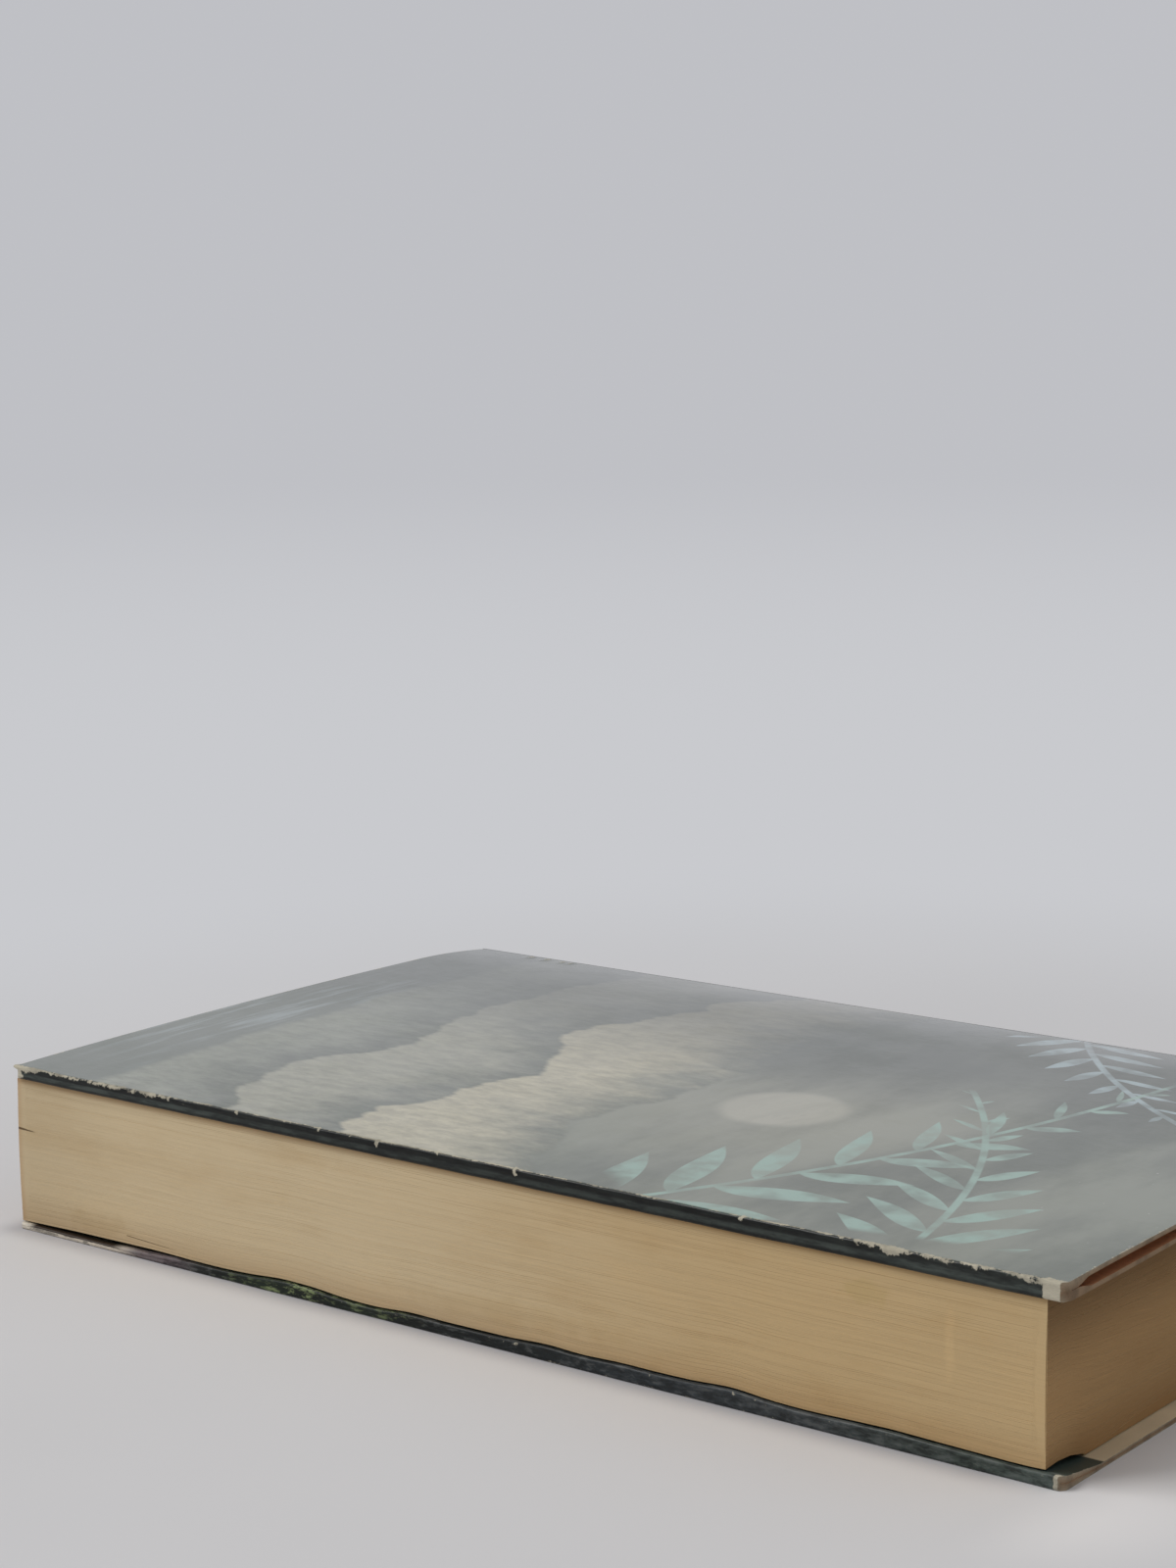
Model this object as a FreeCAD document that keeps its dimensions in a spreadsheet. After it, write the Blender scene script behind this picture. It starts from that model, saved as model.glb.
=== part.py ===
"""Paperback book with folded-in flaps, lying on its back cover.

The frame: X runs from the tail to the head, Y from the fore-edge to the spine and Z up. The origin
is on the surface that the book lies on, under the middle of the book. Sizes are millimetres and
degrees.

The card cover of a paperback is one sheet. Here it is three pieces, parted at the two score lines
that the covers turn on: the front cover and the back cover, each with its flap folded in at the
fore-edge, and the spine with the strips that are glued down on the first and last leaf.
"""

import FreeCAD, Part, Sketcher
import math
import os
import re

STATIONS = 30
TAIL_LIFT_STATIONS = 6

# Open heights of the back cover's fold at each station from tail to head. The leaves' weight
# presses the fold flat at the tail, and further on it stands up in uneven waves.
BACK_FOLD_OPEN = [
    *(0.2, 0.12, 0.1, 0.1, 0.25, 0.45),
    *(0.55, 0.55, 0.75, 1.2, 1.1, 0.65),
    *(0.55, 0.95, 0.9, 0.92, 1.0, 1.3),
    *(1.1, 1.32, 1.3, 1.4, 1.75, 1.3),
    *(1.15, 1.3, 1.42, 1.27, 1.15, 1.05),
    1.15,
]

SIZES = {
    # The whole book
    "book_length": 198.0,
    "book_width": 129.0,
    "card_thick": 0.35,
    # Top of the front cover: at the fore-edge, where it starts to roll down, and at its score line
    "fore_height": 28.15,
    "roll_height": 28.05,
    "hinge_height": 26.45,
    "roll_wide": 21.7,
    "panel_radius": 2700.0,
    "roll_radius": 180.0,
    "hinge_slope": 9.0,
    # Flaps and their folds
    "fold_inner_round": 0.1,
    "front_fold_open_tail": 1.3,
    "front_fold_open_head": 1.8,
    "flap_wide": 80.0,
    "flap_radius": 1950.0,
    "flap_end_gap": 0.1,
    "back_fold_slope": 10.0,
    "front_cover_tail_inset": 0.6,
    # Spine: rounded shoulder above, small round below, and a slight bulge between them
    "shoulder_round": 7.0,
    "heel_round": 4.0,
    "spine_bulge": 0.4,
    "glued_strip_wide": 5.9,
    "glue_thick": 0.5,
    "hinge_gap": 0.15,
    # The leaves
    "leaf_gap": 0.2,
    "block_fore_inset": 0.8,
    "block_tail_inset": 0.2,
    "block_head_inset": 3.0,
    "fore_edge_radius": 240.0,
    "flap_step_wide": 5.0,
    "tail_leaf_lift": 0.5,
    # Hollow under the head corner of the leaves
    "hollow_wide": 10.2,
    "hollow_inset": 0.3,
    "hollow_rise": 0.15,
    "hollow_radius": 9.0,
    "hollow_deep": 14.0,
    "hollow_taper": 0.25,
}

for order, opening in enumerate(BACK_FOLD_OPEN):
    SIZES[f"back_fold_open_{order}"] = opening

# Outer radius of a folded edge, and the widths and heights that several pieces share
FOLD_ROUND = "(card_thick + fold_inner_round)"
FORE_EDGE = "(-book_width / 2)"
FOLD_TOP = f"({FORE_EDGE} + {FOLD_ROUND})"
FLAP_EDGE = f"({FORE_EDGE} + flap_wide)"
SPINE_FACE = "(book_width / 2 - spine_bulge)"
FRONT_HINGE = f"({SPINE_FACE} - shoulder_round * (1 - sin(hinge_slope * 1 deg)))"
BACK_HINGE = f"({SPINE_FACE} - glued_strip_wide)"
ROLL_START = f"({FRONT_HINGE} - roll_wide)"
SHOULDER_START = "(hinge_height - shoulder_round * cos(hinge_slope * 1 deg))"
SPINE_RADIUS = f"((({SHOULDER_START} - heel_round) ^ 2 / 4 + spine_bulge ^ 2) / (2 * spine_bulge))"
BACK_FLAP_TOP = "(2 * card_thick + flap_end_gap)"


def bound(expression):
    """Names the sheet before each size in an expression. A size's name has an underscore."""
    return re.sub(r"\b[a-z]+_\w+", r"Sizes.\g<0>", expression)


def straight(across, height):
    """A corner of an outline, with a straight side to the next corner."""
    return (across, height, None, False)


def convex(across, height, radius):
    """A corner with an arc to the next one that bulges out of the material."""
    return (across, height, radius, False)


def hollow(across, height, radius):
    """A corner with an arc to the next one that bulges into the material."""
    return (across, height, radius, True)


def arc_between(start, end, radius):
    """The shorter arc from start to end, counterclockwise about its centre."""
    chord = end - start
    reach = math.sqrt(radius ** 2 - (chord.Length / 2) ** 2)
    side = FreeCAD.Vector(-chord.y, chord.x, 0) / chord.Length
    centre = (start + end) / 2 + side * reach
    angles = [math.atan2(point.y - centre.y, point.x - centre.x) for point in (start, end)]
    circle = Part.Circle(centre, FreeCAD.Vector(0, 0, 1), radius)
    return Part.ArcOfCircle(circle, *angles)


def origin_plane(body, role):
    """A plane of the body's own origin."""
    return [plane for plane in body.Origin.OriginFeatures if plane.Role == role][0]


def new_body(document, name):
    body = document.addObject("PartDesign::Body", name)
    body.Label = name
    return body


def cross_section(body, name, place, corners):
    """Sketches a closed outline across the book, counterclockwise as seen from the head.

    Each corner's place and each arc's radius is bound to the sheet, and so is the place of the
    sketch along the book.
    """
    sheet = body.Document.Sizes
    sketch = body.newObject("Sketcher::SketchObject", name)
    sketch.AttachmentSupport = [(origin_plane(body, "YZ_Plane"), "")]
    sketch.MapMode = "FlatFace"
    sketch.setExpression("AttachmentOffset.Base.z", bound(place))

    def value(expression):
        return float(sheet.evalExpression(bound(expression)))

    points = [FreeCAD.Vector(value(across), value(height), 0) for across, height, _, _ in corners]
    ends = []
    for index, (_, _, radius, is_hollow) in enumerate(corners):
        start, end = points[index], points[(index + 1) % len(points)]
        if radius is None:
            sketch.addGeometry(Part.LineSegment(start, end))
            ends.append((1, 2))
        elif is_hollow:
            sketch.addGeometry(arc_between(end, start, value(radius)))
            ends.append((2, 1))
        else:
            sketch.addGeometry(arc_between(start, end, value(radius)))
            ends.append((1, 2))

    def constrain(kind, *arguments, expression=None):
        index = sketch.addConstraint(Sketcher.Constraint(kind, *arguments))
        if expression:
            sketch.setExpression(f"Constraints[{index}]", bound(expression))

    for index, (across, height, radius, _) in enumerate(corners):
        following = (index + 1) % len(corners)
        first, last = ends[index]
        constrain("Coincident", index, last, following, ends[following][0])
        constrain("DistanceX", -1, 1, index, first, points[index].x, expression=across)
        constrain("DistanceY", -1, 1, index, first, points[index].y, expression=height)
        if radius is not None:
            constrain("Radius", index, value(radius), expression=radius)
    return sketch


def loft(body, kind, sections):
    """Lofts through cross sections that have the same corners, straight from each to the next."""
    feature = body.newObject(kind, "Loft")
    feature.Profile = (sections[0], [""])
    feature.Sections = [(section, [""]) for section in sections[1:]]
    feature.Ruled = True
    return feature


def pad_along(body, sketch, length):
    """Pads a cross section towards the head."""
    pad = body.newObject("PartDesign::Pad", "Pad")
    pad.Profile = sketch
    pad.setExpression("Length", bound(length))
    return pad


def station_place(station):
    return f"book_length * ({station} / {STATIONS} - 0.5)"


def front_fold_height(station):
    """Height of the front cover's folded edge, which grows evenly from the tail to the head."""
    growth = f"(front_fold_open_head - front_fold_open_tail) * {station} / {STATIONS}"
    return f"(2 * {FOLD_ROUND} + front_fold_open_tail + {growth})"


def back_fold_height(station):
    """Height of the back cover's folded edge."""
    return f"(2 * {FOLD_ROUND} + back_fold_open_{station})"


def leaf_lift(station):
    """The leaves stand clear of the back cover's fold near the tail, where it is pressed flat."""
    if station >= TAIL_LIFT_STATIONS:
        return "leaf_gap"
    return f"leaf_gap + tail_leaf_lift * sin(180 deg * {station} / {TAIL_LIFT_STATIONS})"


def panel_height(across):
    """Height of the front cover's outer face over its wide, slightly crowned part."""
    run = f"({across} - {FOLD_TOP})"
    span = f"({ROLL_START} - {FOLD_TOP})"
    chord = f"fore_height + (roll_height - fore_height) * {run} / {span}"
    return f"({chord} + {run} * ({span} - {run}) / (2 * panel_radius))"


def flap_height():
    """Height of the underside of the front flap at its free edge."""
    return f"({panel_height(FLAP_EDGE)} - 2 * card_thick - flap_end_gap)"


def spine_corners(depth, inwards):
    """The outline round the spine at a depth under the cover's outer face.

    It runs from the back hinge to the front one, bulging out of the material, or the other way
    and into the material for the inside of a shell.
    """
    heel = f"{SPINE_FACE} - heel_round"
    shoulder = f"{SPINE_FACE} - shoulder_round"
    reach = f"(shoulder_round - {depth})"
    corners = [
        (BACK_HINGE, depth, None),
        (heel, depth, f"heel_round - {depth}"),
        (f"{SPINE_FACE} - {depth}", "heel_round", f"{SPINE_RADIUS} - {depth}"),
        (f"{SPINE_FACE} - {depth}", SHOULDER_START, reach),
        (
            f"{shoulder} + {reach} * sin(hinge_slope * 1 deg)",
            f"{SHOULDER_START} + {reach} * cos(hinge_slope * 1 deg)",
            None,
        ),
    ]
    if not inwards:
        return [(across, height, radius, False) for across, height, radius in corners]
    radii = [radius for _, _, radius in corners]
    reversed_radii = radii[-2::-1] + [None]
    places = [(across, height) for across, height, _ in reversed(corners)]
    return [(*place, radius, True) for place, radius in zip(places, reversed_radii)]


def front_hinge_end(depth):
    """The front cover's edge at its score line, a hinge gap short of the spine's edge."""
    slope = "hinge_slope * 1 deg"
    across = f"{FRONT_HINGE} - hinge_gap * cos({slope}) - {depth} * sin({slope})"
    height = f"hinge_height + hinge_gap * sin({slope}) - {depth} * cos({slope})"
    return across, height


def front_cover_corners(station):
    fold = front_fold_height(station)
    inside = f"{FORE_EDGE} + card_thick"
    return [
        convex(FOLD_TOP, f"fore_height - {fold}", "flap_radius"),
        straight(FLAP_EDGE, flap_height()),
        hollow(FLAP_EDGE, f"{flap_height()} + card_thick", "flap_radius - card_thick"),
        hollow(FOLD_TOP, f"fore_height - {fold} + card_thick", "fold_inner_round"),
        straight(inside, f"fore_height - {fold} + {FOLD_ROUND}"),
        hollow(inside, f"fore_height - {FOLD_ROUND}", "fold_inner_round"),
        hollow(FOLD_TOP, "fore_height - card_thick", "panel_radius - card_thick"),
        hollow(ROLL_START, "roll_height - card_thick", "roll_radius - card_thick"),
        straight(*front_hinge_end("card_thick")),
        convex(*front_hinge_end("0"), "roll_radius"),
        convex(ROLL_START, "roll_height", "panel_radius"),
        convex(FOLD_TOP, "fore_height", FOLD_ROUND),
        straight(FORE_EDGE, f"fore_height - {FOLD_ROUND}"),
        convex(FORE_EDGE, f"fore_height - {fold} + {FOLD_ROUND}", FOLD_ROUND),
    ]


def back_cover_corners(station):
    fold = back_fold_height(station)
    inside = f"{FORE_EDGE} + card_thick"
    hinge_end = f"{BACK_HINGE} - hinge_gap"
    slope_foot = f"{FORE_EDGE} + back_fold_slope"
    return [
        straight(FOLD_TOP, "0"),
        straight(hinge_end, "0"),
        straight(hinge_end, "card_thick"),
        hollow(FOLD_TOP, "card_thick", "fold_inner_round"),
        straight(inside, FOLD_ROUND),
        hollow(inside, f"{fold} - {FOLD_ROUND}", "fold_inner_round"),
        straight(FOLD_TOP, f"{fold} - card_thick"),
        straight(slope_foot, f"{BACK_FLAP_TOP} - card_thick"),
        straight(FLAP_EDGE, f"{BACK_FLAP_TOP} - card_thick"),
        straight(FLAP_EDGE, BACK_FLAP_TOP),
        straight(slope_foot, BACK_FLAP_TOP),
        convex(FOLD_TOP, fold, FOLD_ROUND),
        straight(FORE_EDGE, f"{fold} - {FOLD_ROUND}"),
        convex(FORE_EDGE, FOLD_ROUND, FOLD_ROUND),
    ]


def page_block_corners(station):
    """The leaves fill the covers: they follow both flaps, the panels and the glue."""
    fore = f"{FORE_EDGE} + block_fore_inset"
    step = f"{FLAP_EDGE} + flap_step_wide"
    spine = spine_corners("(card_thick + glue_thick)", inwards=False)
    top_across, top_height, _, _ = spine[-1]
    return [
        straight(fore, f"{back_fold_height(station)} + {leaf_lift(station)}"),
        straight(f"{FORE_EDGE} + back_fold_slope", f"{BACK_FLAP_TOP} + leaf_gap"),
        straight(f"{FLAP_EDGE} + leaf_gap", f"{BACK_FLAP_TOP} + leaf_gap"),
        straight(step, "card_thick + leaf_gap"),
        *spine[:-1],
        convex(top_across, top_height, "roll_radius - card_thick - glue_thick"),
        convex(ROLL_START, "roll_height - card_thick - leaf_gap", "panel_radius"),
        straight(step, f"{panel_height(step)} - card_thick - leaf_gap"),
        hollow(f"{FLAP_EDGE} + leaf_gap", f"{flap_height()} - leaf_gap", "flap_radius"),
        convex(fore, f"fore_height - {front_fold_height(station)} - leaf_gap", "fore_edge_radius"),
    ]


def make_front_cover(document):
    body = new_body(document, "front_cover")
    tail = cross_section(
        body, "TailSection", f"{station_place(0)} + front_cover_tail_inset", front_cover_corners(0)
    )
    head = cross_section(
        body, "HeadSection", station_place(STATIONS), front_cover_corners(STATIONS)
    )
    loft(body, "PartDesign::AdditiveLoft", [tail, head])
    return body


def make_back_cover(document):
    body = new_body(document, "back_cover")
    sections = [
        cross_section(body, f"Section{station}", station_place(station), back_cover_corners(station))
        for station in range(STATIONS + 1)
    ]
    loft(body, "PartDesign::AdditiveLoft", sections)
    return body


def make_page_block(document):
    body = new_body(document, "page_block")
    places = [station_place(station) for station in range(STATIONS + 1)]
    places[0] += " + block_tail_inset"
    places[STATIONS] += " - block_head_inset"
    sections = [
        cross_section(body, f"Section{station}", place, page_block_corners(station))
        for station, place in enumerate(places)
    ]
    loft(body, "PartDesign::AdditiveLoft", sections)
    cut_corner_hollow(body, places[STATIONS])
    return body


def cut_corner_hollow(body, head):
    """The last leaves end short of the corner at the head, and the others arch over the gap."""
    start = f"({FORE_EDGE} + block_fore_inset + hollow_inset)"
    roof = f"{back_fold_height(STATIONS)} + leaf_gap"

    def corners(scale):
        wide = f"(hollow_wide * {scale})"
        return [
            straight(start, "0"),
            straight(f"{start} + {wide}", "0"),
            convex(f"{start} + {wide}", f"{roof} + hollow_rise * {scale}", "hollow_radius"),
            straight(start, roof),
        ]

    mouth = cross_section(body, "HollowMouth", head, corners("1"))
    end = cross_section(body, "HollowEnd", f"{head} - hollow_deep", corners("hollow_taper"))
    loft(body, "PartDesign::SubtractiveLoft", [mouth, end])


def make_spine_cover(document):
    body = new_body(document, "spine_cover")
    corners = spine_corners("0", inwards=False) + spine_corners("card_thick", inwards=True)
    pad_along(body, cross_section(body, "Section", station_place(0), corners), "book_length")
    return body


def make_binding_glue(document):
    body = new_body(document, "binding_glue")
    corners = spine_corners("card_thick", inwards=False)
    corners += spine_corners("(card_thick + glue_thick)", inwards=True)
    section = cross_section(body, "Section", f"{station_place(0)} + block_tail_inset", corners)
    pad_along(body, section, "book_length - block_tail_inset - block_head_inset")
    return body


def fill_sheet(document):
    sheet = document.addObject("Spreadsheet::Sheet", "Sizes")
    for row, (name, size) in enumerate(SIZES.items(), start=1):
        sheet.set(f"A{row}", name)
        sheet.set(f"B{row}", str(size))
        sheet.setAlias(f"B{row}", name)


def check(document, bodies):
    """Stops the script if an object failed or a piece isn't one valid solid."""
    for item in document.Objects:
        if "Invalid" in item.State or "Error" in item.State:
            raise RuntimeError(f"{item.Label} failed: {item.State}")
    for body in bodies:
        shape = body.Shape
        if shape.isNull() or not shape.isValid() or len(shape.Solids) != 1:
            raise RuntimeError(f"{body.Label} isn't one valid solid")


def main():
    document = FreeCAD.newDocument("PaperbackBook")
    fill_sheet(document)
    document.recompute()
    bodies = [
        make_page_block(document),
        make_binding_glue(document),
        make_spine_cover(document),
        make_front_cover(document),
        make_back_cover(document),
    ]
    document.recompute()
    check(document, bodies)
    os.makedirs("parts", exist_ok=True)
    for body in bodies:
        body.Shape.exportStep(f"parts/{body.Label}.step")
        box = body.Shape.BoundBox
        print(f"{body.Label}: {body.Shape.Volume:.0f} mm3, z {box.ZMin:.2f} to {box.ZMax:.2f}")


main()
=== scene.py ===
"""Dresses the CAD frame of a paperback book that lies on its back cover.

The frame: X runs from the tail to the head, Y from the fore-edge to the spine and Z up. Sizes are
millimetres unless a name says otherwise, and the meshes are made in metres.
"""

import logging
import math
import random
from dataclasses import dataclass, field
from enum import Enum
from functools import reduce
from typing import Callable, NamedTuple, Sequence

import bpy
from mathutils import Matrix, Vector


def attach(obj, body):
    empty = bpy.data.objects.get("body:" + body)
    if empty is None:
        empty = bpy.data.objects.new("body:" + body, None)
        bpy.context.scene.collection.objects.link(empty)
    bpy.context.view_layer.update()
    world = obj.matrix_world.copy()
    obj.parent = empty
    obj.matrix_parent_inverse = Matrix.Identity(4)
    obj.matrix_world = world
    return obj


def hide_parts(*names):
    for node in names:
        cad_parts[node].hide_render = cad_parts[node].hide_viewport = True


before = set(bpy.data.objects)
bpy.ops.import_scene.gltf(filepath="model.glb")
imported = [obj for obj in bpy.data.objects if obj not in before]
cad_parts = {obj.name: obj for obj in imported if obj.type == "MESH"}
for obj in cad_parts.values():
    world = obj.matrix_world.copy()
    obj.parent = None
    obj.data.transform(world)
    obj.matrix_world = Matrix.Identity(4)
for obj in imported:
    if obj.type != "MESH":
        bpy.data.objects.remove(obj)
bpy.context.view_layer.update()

MM = 0.001
SHARP_DEGREES = 40.0
LOG = logging.getLogger("paperback")

Colour = tuple[float, float, float]
Triple = tuple[float, float, float]
Pair = tuple[float, float]
Socket = bpy.types.NodeSocket
Value = Socket | float


def clamp(value: float, low: float = 0.0, high: float = 1.0) -> float:
    """The value, or the nearer end where it lies past low or high."""
    return min(max(value, low), high)


def smooth(value: float, low: float, high: float) -> float:
    """Rises smoothly from 0 at low to 1 at high.

    Args:
        value: where to look.
        low: the end that gives 0, which may be above high.
        high: the end that gives 1.

    Returns:
        A number from 0 to 1.
    """
    share = clamp((value - low) / (high - low))
    return share * share * (3.0 - 2.0 * share)


def hump(value: float, centre: float, wide: float) -> float:
    """A bell of height 1 round a centre, with a standard width."""
    return math.exp(-((value - centre) ** 2) / (2.0 * wide * wide))


class Ripple:
    """A smooth random curve along one line, the same in each run. It repeats after all it drew."""

    drawn = 512
    first = 200

    def __init__(self, seed: int, step: float) -> None:
        """Draws the curve's values.

        Args:
            seed: picks the curve.
            step: distance between the values that are drawn.
        """
        source = random.Random(seed)
        self.step = step
        self.values = [source.uniform(-1.0, 1.0) for _ in range(self.drawn)]

    def at(self, place: float) -> float:
        """The curve's height at a place.

        Args:
            place: distance along the line.

        Returns:
            A number from -1 to 1.
        """
        scaled = place / self.step + self.first
        index = math.floor(scaled)
        share = smooth(scaled - index, 0.0, 1.0)
        before, after = (self.values[(index + step) % self.drawn] for step in (0, 1))
        return before + (after - before) * share


@dataclass(frozen=True)
class BookShape:
    """The sizes of the book's outline, as the CAD source has them.

    The back fold's heights are at even stations from the tail to the head. The fore-edge's bow is
    four times what its middle stands out past its lower and upper ends.
    """

    half_length: float = 99.0
    card: float = 0.35
    fold_round: float = 0.45
    inner_round: float = 0.1
    fore: float = -64.5
    flap_edge: float = 15.5
    roll_start: float = 36.495
    fore_height: float = 28.15
    roll_height: float = 28.05
    panel_radius: float = 2700.0
    roll_radius: float = 180.0
    flap_radius: float = 1950.0
    hinge_slope: float = 9.0
    hinge_gap: float = 0.15
    front_hinge: float = 58.195
    back_hinge: float = 58.2
    hinge_height: float = 26.45
    front_tail_inset: float = 0.6
    front_fold_tail: float = 2.2
    front_fold_head: float = 2.7
    back_fold: tuple[float, ...] = (
        *(1.1, 1.02, 1.0, 1.0, 1.15, 1.35),
        *(1.45, 1.45, 1.65, 2.1, 2.0, 1.55),
        *(1.45, 1.85, 1.8, 1.82, 1.9, 2.2),
        *(2.0, 2.22, 2.2, 2.3, 2.65, 2.2),
        *(2.05, 2.2, 2.32, 2.17, 2.05, 1.95),
        2.05,
    )
    flap_gap: float = 0.1
    fold_slope: float = 10.0
    leaf_gap: float = 0.2
    tail_lift: float = 0.5
    tail_lift_share: float = 0.2
    flap_step: float = 5.0
    glue: float = 0.5
    block_crown: float = 1.2
    block_tail: float = -98.8
    block_head: float = 96.0
    block_fore: float = -63.7
    fore_bow: float = 1.02

    @property
    def fold_top(self) -> float:
        """Where a cover's flat part ends and its fold begins."""
        return self.fore + self.fold_round

    def panel(self, across: float) -> float:
        """Height of the front cover's outer face on its wide, slightly crowned part.

        Args:
            across: the place across the book.

        Returns:
            The height.
        """
        run = across - self.fold_top
        span = self.roll_start - self.fold_top
        chord = self.fore_height + (self.roll_height - self.fore_height) * run / span
        return chord + run * (span - run) / (2.0 * self.panel_radius)

    def front_fold(self, along: float) -> float:
        """Height of the front cover's folded edge.

        Args:
            along: the place along the book.

        Returns:
            The height.
        """
        tail = -self.half_length + self.front_tail_inset
        share = (along - tail) / (self.half_length - tail)
        return self.front_fold_tail + (self.front_fold_head - self.front_fold_tail) * share

    def back_fold_height(self, along: float) -> float:
        """Height of the back cover's folded edge, on a smooth curve through its stations.

        Args:
            along: the place along the book.

        Returns:
            The height.
        """
        last = len(self.back_fold) - 1
        scaled = clamp((along / self.half_length + 1.0) / 2.0 * last, 0.0, last - 1e-6)
        index = int(scaled)
        share = scaled - index
        places = (min(max(index + step, 0), last) for step in (-1, 0, 1, 2))
        before, start, end, after = (self.back_fold[place] for place in places)
        bend = 2.0 * before - 5.0 * start + 4.0 * end - after
        twist = 3.0 * (start - end) + after - before
        return start + 0.5 * share * (end - before + share * (bend + share * twist))

    def flap_under(self, along: float, across: float) -> float:
        """Height of the underside of the front cover's flap.

        Args:
            along: the place along the book.
            across: the place across the book.

        Returns:
            The height.
        """
        span = self.flap_edge - self.fold_top
        share = (across - self.fold_top) / span
        start = self.fore_height - self.front_fold(along)
        end = self.panel(self.flap_edge) - 2.0 * self.card - self.flap_gap
        sag = share * (1.0 - share) * span * span / (2.0 * self.flap_radius)
        return start + (end - start) * share - sag

    def back_flap_top(self, along: float, across: float) -> float:
        """Height of the upper side of the back cover's flap.

        Args:
            along: the place along the book.
            across: the place across the book.

        Returns:
            The height.
        """
        low = 2.0 * self.card + self.flap_gap
        share = clamp((across - self.fold_top) / (self.fold_slope - self.fold_round))
        return self.back_fold_height(along) * (1.0 - share) + low * share

    def block_low(self, along: float, across: float) -> float:
        """Height of the underside of the leaves, at the fore-edge or further in.

        Args:
            along: the place along the book.
            across: the place across the book.

        Returns:
            The height.
        """
        raised = (along / self.half_length + 1.0) / (2.0 * self.tail_lift_share)
        lift = self.tail_lift * math.sin(math.pi * clamp(raised))
        inside = self.fore + self.fold_slope
        share = clamp((across - self.block_fore) / (inside - self.block_fore))
        fore = self.back_fold_height(along) + self.leaf_gap + lift
        low = 2.0 * self.card + self.flap_gap + self.leaf_gap
        step = smooth(across, self.flap_edge, self.flap_edge + self.flap_step)
        return fore * (1.0 - share) + low * share - (low - self.card - self.leaf_gap) * step

    def block_high(self, along: float, across: float) -> float:
        """Height of the top of the leaves.

        Args:
            along: the place along the book.
            across: the place across the book.

        Returns:
            The height.
        """
        if across < self.flap_edge:
            return self.flap_under(along, across) - self.leaf_gap
        if across < self.roll_start:
            under = self.panel(across) - self.card - self.leaf_gap
            flap = self.flap_under(along, self.flap_edge) - self.leaf_gap
            step = min((across - self.flap_edge) / self.flap_step, 1.0)
            return flap + (under - flap) * step
        share = (across - self.roll_start) / (self.front_hinge - self.roll_start)
        end = self.hinge_height - self.card - self.glue
        start = self.roll_height - self.card - self.leaf_gap
        return start + (end - start) * share + self.block_crown * share * (1.0 - share)


SHAPE = BookShape()


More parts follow.
